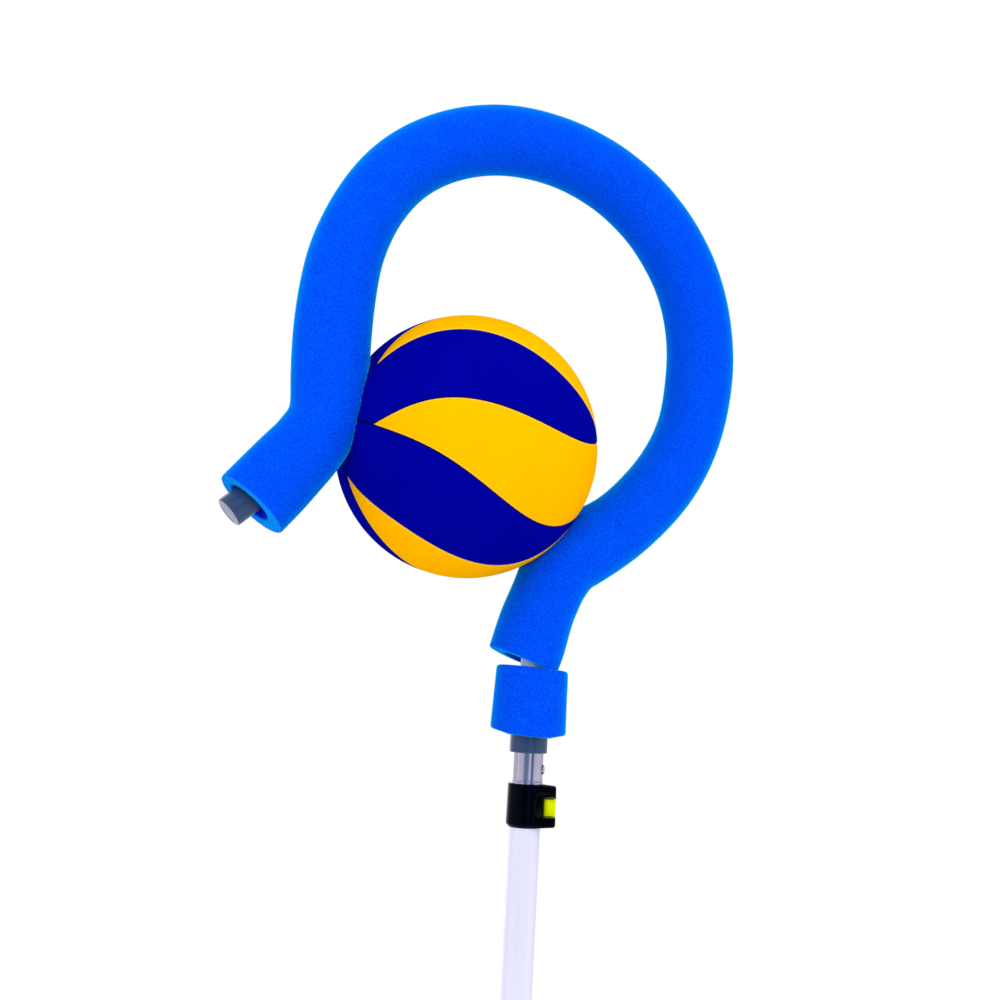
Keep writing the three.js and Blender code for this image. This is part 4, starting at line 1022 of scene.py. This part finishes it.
def foam_profile(total):
    """Closed (arc length, radius share) profile of the sleeve: share 1 is its outside and 0 its bore."""
    round_end = 1.6 * MM
    quarter = np.linspace(0, math.pi / 2, 6)[1:]
    step, drop = round_end * np.sin(quarter), 0.09 * (1 - np.cos(quarter))
    outside = np.linspace(round_end, total - round_end, 640)
    inside = np.concatenate([np.linspace(2 * MM, 130 * MM, 60), np.linspace(136 * MM, total - 120 * MM, 70),
                             np.linspace(total - 114 * MM, total - 2 * MM, 56)])
    face = np.linspace(0.9, 0.06, 7)
    corner = np.stack([total - round_end + step, 1 - drop], 1)
    lip = np.stack([total - 0.6 * MM + 0 * step[:1], 0 * step[:1] + 0.02], 1)
    last = np.concatenate([corner, np.stack([total + 0 * face, face], 1), lip])
    first = np.stack([total - last[::-1, 0], last[::-1, 1]], 1)
    return np.concatenate([np.stack([outside, 1 + 0 * outside], 1), last,
                           np.stack([inside[::-1], 0 * inside], 1), first])


def foam_bore(along, total):
    """Radius of the bore, wide where the tube runs askew, and how far it lies to the right of the middle."""
    start_wide = 4.4 * smooth(125 * MM, 70 * MM, along) + 2.5 * smooth(50 * MM, 0, along)
    end_wide = 5.0 * smooth(total - 100 * MM, total - 45 * MM, along)
    end_wide = end_wide + 2.8 * smooth(total - 45 * MM, total - 5 * MM, along)
    aside = 2.8 * smooth(45 * MM, 0, along) + 1.3 * smooth(total - 40 * MM, total - 5 * MM, along)
    return FOAM_BORE + (start_wide + end_wide) * MM, aside * MM


def make_hook_foam():
    """The foam sleeve: its closed profile carried along the centreline.

    The outside radius is even but for the swells named above, each times the cosine of the angle from its
    side, and a slow unevenness; whatever lies inside the ball moves straight out to the ball's surface. The
    lower cut leans, as points near it move along the centreline by a share of their y. The mark inward is 1
    minus the radius share, but hardly more than 0 on the face of the lower cut, which so keeps nearly the
    skin's colour: painted shade that makes it darker than the upper cut."""
    stretches = foam_stretches()
    total = path_length(stretches)
    profile = foam_profile(total)
    along, share = profile[:, 0], profile[:, 1:]
    place = follow(FOAM_START, FOAM_LEAN, stretches, along)
    sides = 112
    angle = np.arange(sides) * FULL_TURN / sides
    spine = np.stack([place[0], 0 * place[0], place[1]], 1)[:, None]
    out = sleeve_points(place, 1.0, sides) - spine
    left = through(LEFT_SWELL, along / MM)[:, None] * np.maximum(np.cos(angle), 0)
    right = through(RIGHT_SWELL, along / MM)[:, None] * np.maximum(-np.cos(angle), 0)
    bore, aside = foam_bore(along, total)
    inner = spine + out * bore[:, None, None] - out[:, :1] * aside[:, None, None]
    outer = spine + out * (FOAM_RADIUS + (left + right) * MM)[..., None]
    outer = outer + out * uneven(outer, (0.06, 0.045, 0.03), 0.12 * MM, 7)[..., None]
    grid = inner + (outer - inner) * share[..., None]
    ahead = np.stack([np.cos(place[2]), 0 * place[2], np.sin(place[2])], 1)[:, None]
    grid = grid + ahead * (FOAM_CUT_LEAN * smooth(40 * MM, 0, along)[:, None] * grid[..., 1])[..., None]
    grid = pressed_by_ball(grid, out, share)
    low = grid[..., 2] < top_of("foam_collar") + 8 * MM
    rest = top_of("foam_collar") - COLLAR_SLOPE * grid[..., 0] + 0.1 * MM
    grid[..., 2] = np.where(low, np.maximum(grid[..., 2], rest), grid[..., 2])
    # Painted shade: the lower cut's face takes a mark of 0.04, so it keeps nearly the skin colour and looks
    # darker than the upper cut, as if in shade
    low_end = np.where(share < 0.01, 1, 0.04 * (share < 0.97))
    inward = np.where(along[:, None] < total / 2, low_end, 1 - share) + 0 * angle
    foam = piece("foam_hook_sleeve", grid, FINISHES["foam"], "mast", ["hook_foam"],
                 wrap_rows=True, marks=[("inward", inward)])


def pressed_by_ball(grid, out, wall):
    """Points nearer to the ball than its gap to the foam move straight away from its centre to that gap;
    those just outside swell by a height times exp of minus their distance over a reach."""
    from_centre = grid - BALL_CENTRE
    distance = np.linalg.norm(from_centre, axis=-1, keepdims=True)
    surface, height, reach = BALL_RADIUS + BALL_TO_FOAM, 0.7 * MM, 6 * MM
    swell = height * np.exp(-np.maximum(distance - surface, 0) / reach) * (distance > surface)
    grid = grid + out * swell * wall[..., None]
    from_centre = grid - BALL_CENTRE
    distance = np.linalg.norm(from_centre, axis=-1, keepdims=True)
    return BALL_CENTRE + from_centre * np.maximum(distance, surface) / distance


def make_collar():
    """A turned foam ring with soft edges that flares downwards and sits a little askew.

    Radius grows by 1.6 mm from top to bottom, the whole is sheared by z -= 0.06 x, and its lower end leans
    left and bends up by 2.6 mm times the squared cosine of the angle from a line across it; a slow
    unevenness moves the outside."""
    bottom, top = bottom_of("foam_collar"), top_of("foam_collar")
    low = rounded([(COLLAR_BORE, bottom + 12 * MM, 0), (COLLAR_BORE, bottom, 1.2 * MM),
                   (FOAM_RADIUS, bottom, 4 * MM), (FOAM_RADIUS, bottom + 8 * MM, 0)], 10)[:-1]
    high = rounded([(FOAM_RADIUS, top - 8 * MM, 0), (FOAM_RADIUS, top, 3.2 * MM),
                    (COLLAR_BORE, top, 1.2 * MM), (COLLAR_BORE, bottom + 12 * MM, 0)], 10)[1:]
    height = np.linspace(low[-1, 1] + 1 * MM, high[0, 1] - 1 * MM, 60)
    face = np.stack([FOAM_RADIUS + 0 * height, height], 1)
    grid = turned(np.concatenate([low, face, high]), 144)
    out = grid * (1, 1, 0)
    radius = np.linalg.norm(out, axis=-1)
    outer = smooth(COLLAR_BORE + 2 * MM, FOAM_RADIUS - 3 * MM, radius)
    fall = (top - grid[..., 2]) / (top - bottom)
    move = 1.6 * MM * (fall - 0.1) + uneven(grid, (0.06, 0.04, 0.025), 0.15 * MM, 11)
    grid = grid + out / radius[..., None] * (move * outer)[..., None]
    side = (grid @ np.array([*COLLAR_SIDE, 0])) / radius
    grid[..., 2] += 2.6 * MM * side ** 2 * smooth(0.5, 1, fall) * outer
    grid[..., 0] -= 1.2 * MM * fall * outer
    grid[..., 2] -= COLLAR_SLOPE * grid[..., 0]
    collar = piece("foam_collar_ring", grid, FINISHES["foam"], "mast", ["foam_collar"],
                   wrap_rows=True)


# Ball


def seam_longitude(middle, series, polar):
    """Degrees of longitude of a seam: middle + a x + b x^3 + c x^5, x being 0 at the equator and 1 or -1 at
    a cusp."""
    reach = (90 - np.clip(polar, CUSP, 180 - CUSP)) / (90 - CUSP)
    first, second, third = series
    return middle + first * reach + second * reach ** 3 + third * reach ** 5


def on_ball(radius, polar, longitude):
    """Points at a radius, a polar angle and a longitude, both in degrees."""
    polar, longitude = np.radians(polar), np.radians(longitude)
    return np.stack([radius * np.sin(polar) * np.cos(longitude), radius * np.sin(polar) * np.sin(longitude),
                     radius * np.cos(polar) + 0 * longitude], -1)


def panel_edges(polar):
    """Both edges of a yellow panel; past the far cusps it has a fifth of the ball."""
    upper = seam_longitude(SEAM_MIDDLE_UPPER, SEAM_UPPER, polar)
    lower = seam_longitude(SEAM_MIDDLE_LOWER, SEAM_LOWER, polar)
    return np.where(polar >= 180 - CUSP, upper - 360 / PANELS_PER_COLOUR, lower), upper


def panel_grid():
    """A panel in its own frame: a shell between two edges that bellies out and rolls down at its seams.

    Height over the ball is 0.4 mm (1 - exp(-d / 9 mm)) - 0.1 mm, less a quarter round of the roll within
    1.7 mm of the seam, d being the distance to the nearest point of the panel's outline. Also returns d, the
    way along, and the ways across and down the panel."""
    rows = np.linspace(CUSP, PANEL_END, 190)
    share = np.linspace(0, 1, 57)
    share = share - 0.8 * np.sin(FULL_TURN * share) / FULL_TURN
    lower, upper = panel_edges(rows)
    middle, half = (lower + upper) / 2, (upper - lower) / 2
    half = np.maximum(half - np.degrees(0.2 * MM / (BALL_RADIUS * np.sin(np.radians(rows)))), 0.02)
    longitude = middle[:, None] + half[:, None] * (2 * share - 1)
    flat = on_ball(BALL_RADIUS, rows[:, None], longitude)
    fine = np.linspace(CUSP, PANEL_END, 700)
    low_edge, high_edge = (on_ball(BALL_RADIUS, fine, edge) for edge in panel_edges(fine))
    outline = np.concatenate([low_edge, high_edge[::-1]])
    way = np.concatenate([[0], np.cumsum(np.linalg.norm(np.diff(outline, axis=0), axis=1))])
    points = flat.reshape(-1, 3)
    nearest = [np.argmin(((part[:, None] - outline) ** 2).sum(-1), 1) for part in np.array_split(points, 24)]
    nearest = np.concatenate(nearest)
    distance = np.linalg.norm(points - outline[nearest], axis=1).reshape(flat.shape[:2])
    roll_width, roll_drop, puff = 1.7 * MM, 1.15 * MM, 0.4 * MM
    near = np.clip(1 - distance / roll_width, 0, 1)
    height = puff * (0.75 - np.exp(-distance / (9 * MM))) - roll_drop * (1 - np.sqrt(1 - near ** 2))
    over = BALL_RADIUS * np.radians(half[:, None] * (2 * share - 1)) * np.sin(np.radians(rows))[:, None]
    down = BALL_RADIUS * np.radians(rows)[:, None] + 0 * share
    raised = flat * (1 + height / BALL_RADIUS)[..., None]
    return raised, distance, way[nearest].reshape(distance.shape), over, down


def ball_matrix():
    turn = Matrix.Rotation(BALL_YAW, 4, "Z") @ Matrix.Rotation(BALL_TILT, 4, "Y")
    return Matrix.Translation(BALL_CENTRE) @ turn @ Matrix.Rotation(BALL_SPIN, 4, "Z")


def make_panels():
    """Five yellow panels a fifth of a turn apart, and five navy ones that are the same panel turned over."""
    outer, distance, way, over, down = panel_grid()
    inner = outer / np.linalg.norm(outer, axis=-1, keepdims=True) * (BALL_RADIUS - PANEL_THICKNESS)
    rows, columns = outer.shape[:2]
    grid = np.concatenate([outer, inner[:, ::-1]], 1)
    edge = np.concatenate([distance, np.zeros_like(distance)], 1) / MM
    along, across, down = (np.concatenate([part, part[:, ::-1]], 1) / MM for part in (way, over, down))
    faces = grid_faces(rows, 2 * columns)
    count = 2 * columns
    ends = []
    for row in (0, rows - 1):
        left = row * count + np.arange(columns - 1)
        right = row * count + count - 1 - np.arange(columns - 1)
        ends.append(np.stack([left, right, right - 1, left + 1], 1)[:, :: 1 if row == 0 else -1])
    faces = np.concatenate([faces, *ends])
    fifth = FULL_TURN / PANELS_PER_COLOUR
    flip = Matrix.Rotation(math.radians(2 * SEAM_MIDDLE_UPPER), 4, "Z") @ Matrix.Rotation(math.pi, 4, "X")
    for colour, first in (("yellow", Matrix.Identity(4)), ("navy", flip)):
        for number in range(PANELS_PER_COLOUR):
            place = ball_matrix() @ Matrix.Rotation(number * fifth, 4, "Z") @ first
            piece(f"{colour}_cover_panel_{number + 1}", placed(grid, place), FINISHES[colour], "ball",
                  [f"ball_panel_{colour}_{number + 1}"], faces=faces,
                  marks=[("edge", edge), ("along", along), ("across", across), ("down", down)])


def make_bladder():
    """A smooth ball just inside the panels, and a small valve that stands in its hole."""
    polar = np.linspace(0, math.pi, 64)
    radius = BALL_RADIUS - PANEL_THICKNESS - 0.5 * MM
    profile = np.stack([radius * np.sin(polar), radius * np.cos(polar)], 1)
    grid = placed(turned(profile, 96), ball_matrix())
    piece("rubber_bladder", grid, FINISHES["bladder"], "ball", ["ball_bladder"])
    top = BALL_RADIUS + 0.35 * MM
    face, hole_floor, foot, rim = top - 0.1 * MM, top - 1.6 * MM, top - 2.4 * MM, 3.1 * MM
    ring = rounded([(0, hole_floor, 0), (0.45 * MM, hole_floor, 0), (0.6 * MM, face, 0.2 * MM),
                    (2.6 * MM, face, 0.5 * MM), (rim, top - 1.0 * MM, 0.2 * MM), (rim, foot, 0),
                    (0, foot, 0)])
    turn = Matrix.Rotation(VALVE_SPIN, 4, "Z") @ Matrix.Rotation(VALVE_TILT, 4, "Y")
    grid = placed(turned(ring, 48), ball_matrix() @ turn)
    piece("needle_valve", grid, FINISHES["bladder"], "ball", ["ball_valve"])


make_pole_tube("outer_tube", OUTER_TUBE_BORE, OUTER_TUBE_RADIUS, "pole")
make_pole_tube("inner_tube", INNER_TUBE_BORE, INNER_TUBE_RADIUS, "mast")
make_foot_cap()
make_hand_grip()
make_guide_plug()
make_ferrule()
make_button()
make_coupling()
make_clamp_body()
make_lever()
make_lever_pin()
make_clamp_rivet()
make_hook_tube()
make_end_cap()
make_hook_foam()
make_collar()
make_panels()
make_bladder()

KEPT_FINISHES = {"pressure_shoe": "bladder", "button_spring": "steel", "coupling_pin": "steel",
                 "ferrule_rivet_back": "steel", "ferrule_rivet_front": "steel"}
for node, finish_name in KEPT_FINISHES.items():
    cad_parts[node].data.materials.clear()
    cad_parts[node].data.materials.append(FINISHES[finish_name])
